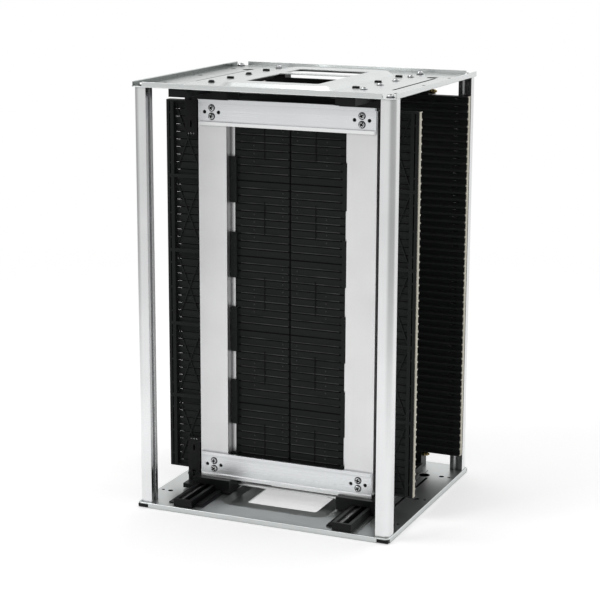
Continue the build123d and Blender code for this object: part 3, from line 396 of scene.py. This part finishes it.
rail_colour = (0.86, 0.875, 0.89)
rail_lines = (4.0, 1200.0, 1200.0)
painted_web_shade = (0.72, 0.735, 0.75)
painted_lip_highlight = (0.95, 0.955, 0.96)
lip_height = 0.0046
for end in ("bottom", "top"):
    rail_finish = metal(f"drawn_rail_aluminium_{end}", rail_colour, 0.30, rail_lines, 0.000006)
    low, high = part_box(f"movable_rail_{end}")
    rail_z = axes(rail_finish)[2]
    # Painted shade on the upper web and a painted highlight on the lower lip.
    shaded_upper_web = ranged(rail_finish, rail_z, 0.0, 0.7, start=(low.z + high.z) / 2, end=high.z - lip_height)
    tint_over(rail_finish, shaded_upper_web, painted_web_shade)
    lower_lip = band(rail_finish, rail_z, low.z, low.z + lip_height, 0.0002)
    tint_over(rail_finish, lower_lip, painted_lip_highlight)
    dress(rail_finish, *[f"{wall}_rail_{end}" for wall in walls])

frame_head_radius = 0.0041
frame_head_height = 0.0024
frame_shank_radius = 0.0020
frame_screw_spacing = 0.0108


def rail_face(wall):
    """Y of the rail faces that the screw heads of a wall sit on."""
    low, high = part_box(f"{wall}_frame_screws")
    return low.y + frame_head_height if wall == "movable" else high.y - frame_head_height


for wall, body, outward in wall_sides:
    low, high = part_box(f"{wall}_frame_screws")
    shank_length = high.y - low.y - frame_head_height
    shape = bmesh.new()
    for x in (low.x + frame_head_radius, high.x - frame_head_radius):
        for z in (low.z + frame_head_radius, high.z - frame_head_radius - frame_screw_spacing):
            for step in (0, 1):
                spot = (x, rail_face(wall), z + step * frame_screw_spacing)
                turn += 1.1
                place = screw_place(spot, -outward * pi / 2, turn)
                pan_head_screw(
                    shape, place, frame_head_radius, frame_head_height, frame_shank_radius, shank_length)
    screws = add_piece(f"{wall}_cross_screws", shape, (screw_zinc, recess_painted_shade), body)
    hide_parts(f"{wall}_frame_screws")


# Slotted panels: moulded in black antistatic plastic with a fine spark-eroded grain. The tops of the
# line ribs carry a painted grey highlight, a painted black shadow lies under each rib, and the joint
# down the middle and the key lines beside it stay black.
def moulding(name, colour, rubbed_lit_and_dusty, roughness, grain_depth, shine=0.14):
    """Plastic with a fine grain, rubbed edges with a painted highlight, and dust on what faces up."""
    spark_scale = (1900.0, 1900.0, 1900.0)
    cloud_scale = (26.0, 26.0, 26.0)
    rub_scale = (160.0, 160.0, 160.0)
    edge = 0.0004
    roughness_spread = 0.07
    material = bpy.data.materials.new(name)
    material.use_nodes = True
    shader = material.node_tree.nodes["Principled BSDF"]
    shader.inputs["Specular IOR Level"].default_value = shine
    sparks = grain(material, spark_scale, 2.0)
    clouds = grain(material, cloud_scale, 3.0)
    rounded, worn_and_lit_edge = broken_edge(material, edge)
    # The rubbed edges are lighter: partly wear, partly a painted highlight.
    rubbing_and_highlight = overlap(material, worn_and_lit_edge, ranged(material, grain(material, rub_scale, 2.0), 0.2, 1.0))
    ledge = ranged(material, upward(material), 0.0, 0.3, start=0.6, end=1.0)
    dust_and_edge_highlight = combine(material, "MAXIMUM", rubbing_and_highlight, ledge)
    links = material.node_tree.links
    links.new(blended(material, dust_and_edge_highlight, colour, rubbed_lit_and_dusty), shader.inputs["Base Color"])
    patchy = ranged(material, clouds, *around(roughness, roughness_spread))
    links.new(patchy, shader.inputs["Roughness"])
    bump_sockets = {"Height": sparks, "Distance": grain_depth, "Normal": rounded}
    bump = add_node(material, "ShaderNodeBump", bump_sockets)
    links.new(bump.outputs["Normal"], shader.inputs["Normal"])
    return material


panel_rows = 5
slots_per_panel = 10
slot_pitch = 0.010
slot_count = panel_rows * slots_per_panel
panel_height = slots_per_panel * slot_pitch
panel_finish = moulding(
    "black_panel_moulding", (0.0215, 0.0230, 0.0230), (0.050, 0.051, 0.050), 0.46, 0.00003, shine=0.05)
for wall in walls:
    for row in range(1, panel_rows + 1):
        dress(panel_finish, f"{wall}_panel_{row}_left", f"{wall}_panel_{row}_right")
wall_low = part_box("movable_panel_1_left")[0]
wall_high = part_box("fixed_panel_5_right")[1]
wall_middle_y = (wall_low.y + wall_high.y) / 2
panel_depth = 0.0125
web_back_depth = 0.0070
line_rib_depth = 0.0010
web_back_offset = (wall_high.y - wall_low.y) / 2 - panel_depth + web_back_depth
rib_top_offset = web_back_offset + line_rib_depth
line_field_end = 0.071
joint_half_width = 0.0010
key_line_x = 0.036
key_line_half_width = 0.0005
key_span_of_panel = (0.275, 0.725)
shade_span_of_slot = (0.79, 0.94)
painted_rib_highlight = (0.080, 0.082, 0.082)
shadow_and_joint_black = (0.0015, 0.0015, 0.0015)
key_black = (0.005, 0.005, 0.005)
panel_x, panel_y, panel_z = axes(panel_finish)
from_joint = absolute(panel_finish, panel_x)
offset = absolute(panel_finish, combine(panel_finish, "SUBTRACT", panel_y, wall_middle_y))
rise = combine(panel_finish, "SUBTRACT", panel_z, wall_low.z)
share_of_slot = combine(panel_finish, "FRACT", combine(panel_finish, "DIVIDE", rise, slot_pitch))
share_of_panel = combine(panel_finish, "FRACT", combine(panel_finish, "DIVIDE", rise, panel_height))

# Painted highlight: the tops of the line ribs get a patchy light grey.
rib_top = band(panel_finish, offset, *around(rib_top_offset, 0.0001), 0.0002)
rib_highlight_noise = grain(panel_finish, (30.0, 30.0, 90.0), 3.0)
rib_highlight_patches = ranged(panel_finish, rib_highlight_noise, 0.15, 1.0, start=0.35, end=0.65)
in_field = ranged(panel_finish, from_joint, 1.0, 0.0, start=line_field_end, end=line_field_end + 0.001)
tint_over(panel_finish, overlap(panel_finish, rib_top, rib_highlight_patches, in_field), painted_rib_highlight)
# Painted shadow: a black band just under each line rib on the web.
painted_rib_shadow = band(panel_finish, share_of_slot, *shade_span_of_slot, 0.01)
on_web = band(panel_finish, offset, *around(web_back_offset, 0.0002), 0.0001)
tint_over(panel_finish, overlap(panel_finish, painted_rib_shadow, on_web), shadow_and_joint_black)
key_line = band(panel_finish, from_joint, *around(key_line_x, key_line_half_width), 0.0001)
key_height = band(panel_finish, share_of_panel, *key_span_of_panel, 0.002)
tint_over(panel_finish, overlap(panel_finish, key_line, key_height), key_black)
joint = band(panel_finish, from_joint, *around(0.0, joint_half_width), 0.0003)
tint_over(panel_finish, joint, shadow_and_joint_black)


# Moulding pips: the small round marks that the ejector pins left between the line ribs, in four
# columns on the outside of each pair of panels. They are moulded with the panel and rubbed bright.
pip_radius = 0.0011
pip_height = 0.0006
pip_columns = ((0.0100, (5, 6, 7, 8)), (0.0510, (2, 3, 4, 5)))
pip_finish = moulding("rubbed_panel_pips", (0.05, 0.051, 0.051), (0.12, 0.122, 0.12), 0.40, 0.00002)
for wall, body, outward in wall_sides:
    y = wall_middle_y + outward * (web_back_offset + pip_height / 2)
    shape = bmesh.new()
    for panel in range(panel_rows):
        for column_x, slots in pip_columns:
            for x in (-column_x, column_x):
                for slot in slots:
                    z = wall_low.z + (panel * slots_per_panel + slot + 0.5) * slot_pitch
                    place = Matrix.Translation((x, y, z)) @ Matrix.Rotation(-outward * pi / 2, 4, "X")
                    bmesh.ops.create_cone(
                        shape, cap_ends=True, segments=8, radius1=pip_radius, radius2=0.6 * pip_radius,
                        depth=pip_height, matrix=place)
    add_piece(f"{wall}_panel_pips", shape, (pip_finish,), body)


# Wing webs: the panel's own plastic round the slits beside the wing's rim. On the movable wall each
# slit is a narrow gap just under a slot rib, and on the fixed wall the mould leaves it closed.
def block(shape, span_x, span_y, span_z, chamfer):
    """Add a box between three pairs of limits, with its edges broken."""
    low, high = (Vector(corner) for corner in zip(span_x, span_y, span_z))
    place = Matrix.Translation((high + low) / 2) @ Matrix.Diagonal((*(high - low), 1.0))
    made = bmesh.ops.create_cube(shape, size=1.0, matrix=place)["verts"]
    edges = list({edge for vert in made for edge in vert.link_edges})
    bmesh.ops.bevel(
        shape, geom=edges, offset=chamfer, offset_type="OFFSET", affect="EDGES",
        segments=1, profile=0.5, material=-1)


slit_low_x = 0.1556
slit_open_x = 0.1578
slit_high_x = 0.1646
slit_low = 0.0058
slit_open_low = 0.0076
slit_high = 0.0080
web_thickness = 0.0006
web_chamfer = 0.0001
for wall, body, outward in wall_sides:
    web_y = wall_middle_y + outward * web_back_offset
    span_y = sorted((web_y, web_y - outward * web_thickness))
    web_top = slit_open_low if wall == "movable" else slit_high
    shape = bmesh.new()
    for slot in range(slot_count):
        slot_z = wall_low.z + slot * slot_pitch
        for side in (-1.0, 1.0):
            web_x = sorted((side * slit_low_x, side * slit_high_x))
            block(shape, web_x, span_y, (slot_z + slit_low, slot_z + web_top), web_chamfer)
            if wall == "movable":
                end_x = sorted((side * slit_low_x, side * slit_open_x))
                block(shape, end_x, span_y, (slot_z + slit_open_low, slot_z + slit_high), web_chamfer)
    add_piece(f"{wall}_wing_webs", shape, (panel_finish,), body)


# Edge strips: ivory plastic pushed on to both ends of each wall. A tooth on the strip closes the end
# of every slot rib, and black pegs of the panel hold it between the two rims of the wing.
ivory = moulding("ivory_strip_plastic", (0.74, 0.71, 0.60), (0.82, 0.80, 0.72), 0.45, 0.00002)
dress(ivory, "movable_edge_strips", "fixed_edge_strips")
strip_thickness = 0.001
tooth_depth = 0.0030
tooth_half_height = 0.0011
peg_low_x = 0.1696
peg_high_x = 0.1709
peg_depth = 0.0052
peg_half_height = 0.0006
peg_heights = (0.017, 0.050, 0.083)
strip_chamfer = 0.0002
for wall, body, outward in wall_sides:
    low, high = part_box(f"{wall}_edge_strips")
    front_y = high.y if wall == "movable" else low.y
    tooth_y = sorted((front_y, front_y - outward * tooth_depth))
    web_y = wall_middle_y + outward * web_back_offset
    peg_y = sorted((web_y, web_y + outward * peg_depth))
    shape = bmesh.new()
    peg_shape = bmesh.new()
    for side in (-1.0, 1.0):
        tooth_x = sorted((side * (high.x - strip_thickness), side * high.x))
        peg_x = sorted((side * peg_low_x, side * peg_high_x))
        for rib in range(slot_count + 1):
            tooth_low, tooth_high = around(low.z + rib * slot_pitch, tooth_half_height)
            block(shape, tooth_x, tooth_y, (max(low.z, tooth_low), min(high.z, tooth_high)), strip_chamfer)
        for panel in range(panel_rows):
            for peg_height in peg_heights:
                peg_z = low.z + panel * panel_height + peg_height
                block(peg_shape, peg_x, peg_y, around(peg_z, peg_half_height), strip_chamfer)
    add_piece(f"{wall}_strip_teeth", shape, (ivory,), body)
    add_piece(f"{wall}_rim_pegs", peg_shape, (pip_finish,), body)


# Tracks: black acetal that slides without grease. Tabs moulded on the tracks snap through the long
# holes of the plates, and a bright drawn strip lies in each track.
corners = [f"{end}_{hand}" for end in ("bottom", "top") for hand in ("left", "right")]
acetal = moulding("black_acetal", (0.009, 0.0095, 0.01), (0.05, 0.052, 0.054), 0.36, 0.00001)
strip_steel = metal("bright_strip_steel", (0.66, 0.66, 0.65), 0.50, (900.0, 5.0, 900.0), 0.000006)
dress(acetal, *[f"track_{corner}" for corner in corners])
dress(strip_steel, "wear_strips")
tab_half_length = 0.0046
tab_half_width = 0.0021
tab_rise = 0.0040
tab_chamfer = 0.0007
sheet_inner_z = 0.0070
left_tab_x = -0.105
right_tab_x = 0.0905
tab_spots = (
    (left_tab_x, -0.0185), (left_tab_x, 0.0955),
    (right_tab_x, -0.065), (right_tab_x, 0.0125), (right_tab_x, 0.090))
shape = bmesh.new()
for x, y in tab_spots:
    for low_z in (sheet_inner_z - tab_rise, cad_high.z - sheet_inner_z):
        tab_z = (low_z, low_z + tab_rise)
        block(shape, around(x, tab_half_length), around(y, tab_half_width), tab_z, tab_chamfer)
add_piece("track_tabs", shape, (acetal,), "frame")


# Carriages: moulded in the same acetal, with a leg up the outside of the wing. Three small screws in
# a row hold the end of each leg to the wall, and a web closes the leg's two windows from behind.
dress(acetal, *[f"carriage_{corner}" for corner in corners])
leg_head_radius = 0.0009
leg_head_height = 0.0009
leg_shank_radius = 0.0008
leg_shank_length = 0.0030
leg_screw_inset = 0.0017
leg_screw_spacing = 0.0036
leg_middle_x = 0.13700
leg_front_y = wall_low.y - 0.0038
leg_back_y = wall_low.y - 0.0003
shape = bmesh.new()
for corner in corners:
    low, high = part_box(f"carriage_{corner}")
    middle_x = -leg_middle_x if corner.endswith("left") else leg_middle_x
    z = high.z - leg_screw_inset if corner.startswith("bottom") else low.z + leg_screw_inset
    for step in (-1.0, 0.0, 1.0):
        turn += 0.9
        place = screw_place((middle_x + step * leg_screw_spacing, leg_front_y, z), pi / 2, turn)
        pan_head_screw(shape, place, leg_head_radius, leg_head_height, leg_shank_radius, leg_shank_length)
add_piece("leg_screws", shape, (screw_zinc, recess_painted_shade), "movable_wall")

window_x = 0.13725
window_height = 0.0250
window_half_width = 0.00175
window_half_height = 0.0055
window_web_thickness = 0.0012
window_chamfer = 0.0002
window_web_y = (leg_back_y - window_web_thickness, leg_back_y)
shape = bmesh.new()
for x in (-window_x, window_x):
    for z in (cad_low.z + window_height, cad_high.z - window_height):
        web_z = around(z, window_half_height)
        block(shape, around(x, window_half_width), window_web_y, web_z, window_chamfer)
add_piece("leg_window_webs", shape, (acetal,), "movable_wall")


# Shade plugs: black plastic buttons set a little below the rail's face in the spare holes at both ends
# of each rail, painted shade that stands for the dark inside of the holes.
shade_plug_radius = 0.00235
shade_plug_length = 0.0026
shade_plug_sink = 0.0010
shade_plug_edge = 0.0004
shade_plug_offset_x = 0.0100
frame_screw_x = 0.1040
shade_plug_inset = frame_head_radius + frame_screw_spacing / 2
shade_plug_columns = [side * frame_screw_x + step for side in (-1, 1) for step in (-shade_plug_offset_x, shade_plug_offset_x)]
for wall, body, outward in wall_sides:
    low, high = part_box(f"{wall}_frame_screws")
    y = rail_face(wall) - outward * (shade_plug_sink + shade_plug_length / 2)
    shape = bmesh.new()
    for x in shade_plug_columns:
        for z in (low.z + shade_plug_inset, high.z - shade_plug_inset):
            place = Matrix.Translation((x, y, z)) @ Matrix.Rotation(-outward * pi / 2, 4, "X")
            made = bmesh.ops.create_cone(
                shape, cap_ends=True, segments=16, radius1=shade_plug_radius, radius2=shade_plug_radius,
                depth=shade_plug_length, matrix=place)["verts"]
            edges = {edge for vert in made for edge in vert.link_edges}
            rims = [edge for edge in edges if abs(edge.verts[0].co.y - edge.verts[1].co.y) < 1e-6]
            bmesh.ops.bevel(
                shape, geom=rims, offset=shade_plug_edge, offset_type="OFFSET", affect="EDGES",
                segments=2, profile=0.5, material=-1)
    add_piece(f"{wall}_hole_shade_plugs", shape, (acetal,), body)


# Shafts, rings and pinions: the shafts are bright drawn steel with turned lines round them, each ring
# is sprung on to its shaft, and the pinions are cut from the same acetal as the tracks.
shaft_steel = metal("bright_shaft_steel", (0.72, 0.72, 0.72), 0.20, (1500.0, 90.0, 90.0), 0.000004)
dress(shaft_steel, "shaft_bottom", "shaft_top", "shaft_rings_bottom", "shaft_rings_top")
dress(acetal, *[f"pinion_{corner}" for corner in corners])


# Feet of the fixed wall: black acetal blocks with a bar between them. A brass thumb nut clamps each
# foot from its outer end, turned from bar with a hexagon next to the foot.
dress(acetal, "fixed_feet_bottom", "fixed_feet_top")
brass = metal(
    "turned_brass", (0.62, 0.47, 0.20), 0.22, (60.0, 1200.0, 1200.0), 0.000006, edge=0.0003, corner_shade_level=0.4)
nut_radius = 0.0034
nut_thickness = 0.0032
collar_radius = 0.0026
collar_length = 0.0040
tip_radius = 0.0017
tip_length = 0.0022
nut_y = 0.1330
nut_drop = 0.0047
nut_edge = 0.0004
nut_stages = (
    (6, nut_radius, nut_radius, nut_thickness),
    (20, collar_radius, collar_radius, collar_length),
    (20, tip_radius, 0.8 * tip_radius, tip_length))
shape = bmesh.new()
for end in ("bottom", "top"):
    low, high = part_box(f"fixed_feet_{end}")
    z = high.z - nut_drop if end == "bottom" else low.z + nut_drop
    for side in (-1.0, 1.0):
        seat = Matrix.Translation((side * high.x, nut_y, z)) @ Matrix.Rotation(side * pi / 2, 4, "Y")
        reach = 0.0
        for segments, near_radius, far_radius, length in nut_stages:
            place = seat @ Matrix.Translation((0.0, 0.0, reach + length / 2))
            made = bmesh.ops.create_cone(
                shape, cap_ends=True, segments=segments, radius1=near_radius, radius2=far_radius,
                depth=length, matrix=place)["verts"]
            far_x = max(abs(vert.co.x) for vert in made)
            far_verts = {vert for vert in made if abs(abs(vert.co.x) - far_x) < 1e-6}
            edges = {edge for vert in made for edge in vert.link_edges}
            crown = [edge for edge in edges if far_verts.issuperset(edge.verts)]
            bmesh.ops.bevel(
                shape, geom=crown, offset=nut_edge, offset_type="OFFSET", affect="EDGES",
                segments=2, profile=0.5, material=-1)
            reach += length
add_piece("foot_thumb_nuts", shape, (brass,), "frame")


# Plate screws: taller heads hold the feet and lower ones hold the tracks. Those of the left tracks
# are black, the rest are zinc plated.
screw_black = metal(
    "black_oxide_screw", (0.035, 0.036, 0.038), 0.30, (400.0, 400.0, 400.0), 0.00001, edge=0.0002, corner_shade_level=0.4)
zinc_finish = 0
black_finish = 2
plate_head_radius = 0.0040
plate_shank_radius = 0.0020
foot_screw = (0.0045, 0.0135)
track_screw = (0.0026, 0.0047)
foot_screw_x = 0.104
foot_screw_y = 0.1355
track_screw_x = 0.105
track_rows = (-0.0755, -0.0185, 0.0385, 0.0955)
sheet_outer_z = 0.0055
plate_screw_spots = [
    (-foot_screw_x, foot_screw_y, foot_screw, zinc_finish),
    (foot_screw_x, foot_screw_y, foot_screw, zinc_finish)]
plate_screw_spots += [(-track_screw_x, y, track_screw, black_finish) for y in track_rows[::2]]
plate_screw_spots += [(track_screw_x, y, track_screw, zinc_finish) for y in track_rows]
shape = bmesh.new()
for x, y, (head_height, shank_length), plating in plate_screw_spots:
    for seat_z, tip in ((sheet_outer_z, pi), (cad_high.z - sheet_outer_z, 0.0)):
        turn += 0.8
        place = screw_place((x, y, seat_z), tip, turn)
        pan_head_screw(
            shape, place, plate_head_radius, head_height, plate_shank_radius, shank_length, plating)
plate_screws = add_piece(
    "plate_cross_screws", shape, (screw_zinc, recess_painted_shade, screw_black), "frame")
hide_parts("plate_screws")


# Corner shade blocks: black plastic blocks in the open corners of the base plate, where the turned
# edges stop, painted shade for the dark inside under the plate. They stand a little back from the plate's
# faces.
shade_block_inner_x = 0.1615
shade_block_inner_y = 0.1540
shade_block_setback = 0.0008
shade_block_lift = 0.0003
shade_block_chamfer = 0.0006
shape = bmesh.new()
for side_x in (-1.0, 1.0):
    shade_block_x = sorted((side_x * shade_block_inner_x, side_x * (cad_high.x - shade_block_setback)))
    for side_y in (-1.0, 1.0):
        shade_block_y = sorted((side_y * shade_block_inner_y, side_y * (cad_high.y - shade_block_setback)))
        block(shape, shade_block_x, shade_block_y, (cad_low.z + shade_block_lift, sheet_outer_z), shade_block_chamfer)
add_piece("corner_shade_blocks", shape, (acetal,), "frame")


# Studio: a pale floor that runs out into a white background, and soft lamps from the upper left.
# Bare metal mirrors a floor that is brightest to the front and a room that is darker towards the
# camera and to the left. The floor is dark under the plate, where no light gets in.
def seen_ray(material):
    """1 for rays that show the background itself, in the camera or in a reflection."""
    path = add_node(material, "ShaderNodeLightPath").outputs
    mirrored = combine(material, "MAXIMUM", path["Is Camera Ray"], path["Is Glossy Ray"])
    return combine(material, "MAXIMUM", mirrored, path["Is Transmission Ray"])


def mirrored_level(material, level):
    """Strength that is the level in reflections and plain white elsewhere."""
    glossy = add_node(material, "ShaderNodeLightPath").outputs["Is Glossy Ray"]
    return add_node(material, "ShaderNodeMix", {0: glossy, 2: 1.0, 3: level}, data_type="FLOAT").outputs[0]


floor_radius = 9.0
floor_drop = 0.0003
floor_shape = bmesh.new()
bmesh.ops.create_circle(floor_shape, cap_ends=True, segments=64, radius=floor_radius)
bmesh.ops.translate(floor_shape, vec=(0.0, 0.0, -floor_drop), verts=floor_shape.verts)
floor_mesh = bpy.data.meshes.new("studio_floor")
floor_shape.to_mesh(floor_mesh)
floor_shape.free()
floor = bpy.data.objects.new("studio_floor", floor_mesh)
bpy.context.scene.collection.objects.link(floor)
floor_paper = bpy.data.materials.new("floor_paper")
floor_paper.use_nodes = True
floor_paper.node_tree.nodes.clear()
paper_white = (0.90, 0.90, 0.90)
paper_shade = (0.04, 0.04, 0.04)
floor_glow = 0.38
bright_way = (-0.30, -0.95, 0.0)
lobe_gain = 0.45
lobe_power = 3.0
mirrored_floor = 0.47
seen = seen_ray(floor_paper)
spot = add_node(floor_paper, "ShaderNodeTexCoord").outputs["Object"]
distance = add_node(floor_paper, "ShaderNodeVectorMath", {0: spot}, operation="LENGTH").outputs["Value"]
far = overlap(floor_paper, seen, ranged(floor_paper, distance, 0.0, 1.0, start=0.6, end=1.8))
floor_x, floor_y = axes(floor_paper)[:2]
beside_x = absolute(floor_paper, floor_x)
beside_y = absolute(floor_paper, floor_y)
out_x = ranged(floor_paper, beside_x, 0.0, 1.0, start=0.170, end=0.178)
out_y = ranged(floor_paper, beside_y, 0.0, 1.0, start=0.150, end=0.160)
in_opening = ranged(floor_paper, beside_x, 1.0, 0.0, start=0.060, end=0.075)
open_floor = combine(floor_paper, "MAXIMUM", combine(floor_paper, "MAXIMUM", out_x, out_y), in_opening)
bearing = add_node(floor_paper, "ShaderNodeVectorMath", {0: spot}, operation="NORMALIZE").outputs["Vector"]
along = dot_product(floor_paper, bearing, bright_way)
along_squared = combine(floor_paper, "MULTIPLY", along, along)
bright_lobe = combine(floor_paper, "POWER", along_squared, lobe_power)
floor_level = combine(floor_paper, "MULTIPLY_ADD", bright_lobe, lobe_gain, mirrored_floor)
lift = combine(floor_paper, "MULTIPLY", overlap(floor_paper, seen, open_floor), floor_glow)
paper_colour = blended(floor_paper, open_floor, paper_shade, paper_white)
paper = add_node(floor_paper, "ShaderNodeBsdfDiffuse", {"Color": paper_colour})
glow = add_node(floor_paper, "ShaderNodeEmission", {"Strength": lift})
white = add_node(floor_paper, "ShaderNodeEmission", {"Strength": mirrored_level(floor_paper, floor_level)})
near = add_node(floor_paper, "ShaderNodeAddShader", {0: paper.outputs[0], 1: glow.outputs[0]})
whole = add_node(floor_paper, "ShaderNodeMixShader", {0: far, 1: near.outputs[0], 2: white.outputs[0]})
add_node(floor_paper, "ShaderNodeOutputMaterial", {"Surface": whole.outputs[0]})
floor_mesh.materials.append(floor_paper)

world = bpy.data.worlds.new("studio_white")
bpy.context.scene.world = world
world.use_nodes = True
world.node_tree.nodes.clear()
plain_white = (1.0, 1.0, 1.0, 1.0)
ambient_strength = 0.42
room_slope = (0.05, 0.22, 0.15)
room_middle = 0.80
diagonal_gain = 0.22
sideways_gain = -0.28
room_darkest = 0.35
direction = add_node(world, "ShaderNodeTexCoord").outputs["Generated"]
split = add_node(world, "ShaderNodeSeparateXYZ", {0: direction}).outputs
diagonal = combine(world, "MULTIPLY", split["X"], split["Y"])
sideways = combine(world, "MULTIPLY", split["X"], split["X"])
level = combine(world, "ADD", dot_product(world, direction, room_slope), room_middle)
level = combine(world, "MULTIPLY_ADD", diagonal, diagonal_gain, level)
level = combine(world, "MULTIPLY_ADD", sideways, sideways_gain, level)
room_level = combine(world, "MINIMUM", combine(world, "MAXIMUM", level, room_darkest), 1.0)
ambient = add_node(world, "ShaderNodeBackground", {"Color": plain_white, "Strength": ambient_strength})
backdrop_level = mirrored_level(world, room_level)
backdrop = add_node(world, "ShaderNodeBackground", {"Color": plain_white, "Strength": backdrop_level})
sky_shaders = {0: seen_ray(world), 1: ambient.outputs[0], 2: backdrop.outputs[0]}
sky = add_node(world, "ShaderNodeMixShader", sky_shaders)
add_node(world, "ShaderNodeOutputWorld", {"Surface": sky.outputs[0]})


def soft_lamp(name, place, size, power):
    """Square soft box that points at the middle of the rack."""
    lamp = bpy.data.lights.new(name, "AREA")
    lamp.size = size
    lamp.energy = power
    stand = bpy.data.objects.new(name, lamp)
    middle = (cad_low + cad_high) / 2
    stand.location = place
    stand.rotation_euler = (middle - Vector(place)).to_track_quat("-Z", "Y").to_euler()
    bpy.context.scene.collection.objects.link(stand)


soft_lamp("key_lamp", (-1.7, -1.5, 2.2), 1.5, 24.0)
soft_lamp("top_lamp", (0.1, 0.3, 2.4), 1.6, 15.0)
soft_lamp("back_lamp", (1.8, 1.9, 1.2), 1.4, 6.0)


# Camera: a long lens in front of the rack, to its right and a little above its top, placed where the
# corners of both plates fall as they do in the photo.
camera_place = (0.90120, -2.12840, 0.78834)
camera_data = bpy.data.cameras.new("photo_camera")
camera_data.lens = 106.37
camera_data.sensor_width = 36.0
camera = bpy.data.objects.new("photo_camera", camera_data)
heading = Matrix.Rotation(radians(23.2335), 4, "Z")
tilt = Matrix.Rotation(radians(77.2281), 4, "X")
roll = Matrix.Rotation(radians(0.2023), 4, "Z")
camera.matrix_world = Matrix.Translation(camera_place) @ heading @ tilt @ roll
bpy.context.scene.collection.objects.link(camera)
bpy.context.scene.camera = camera
bpy.context.scene.view_settings.view_transform = "Standard"
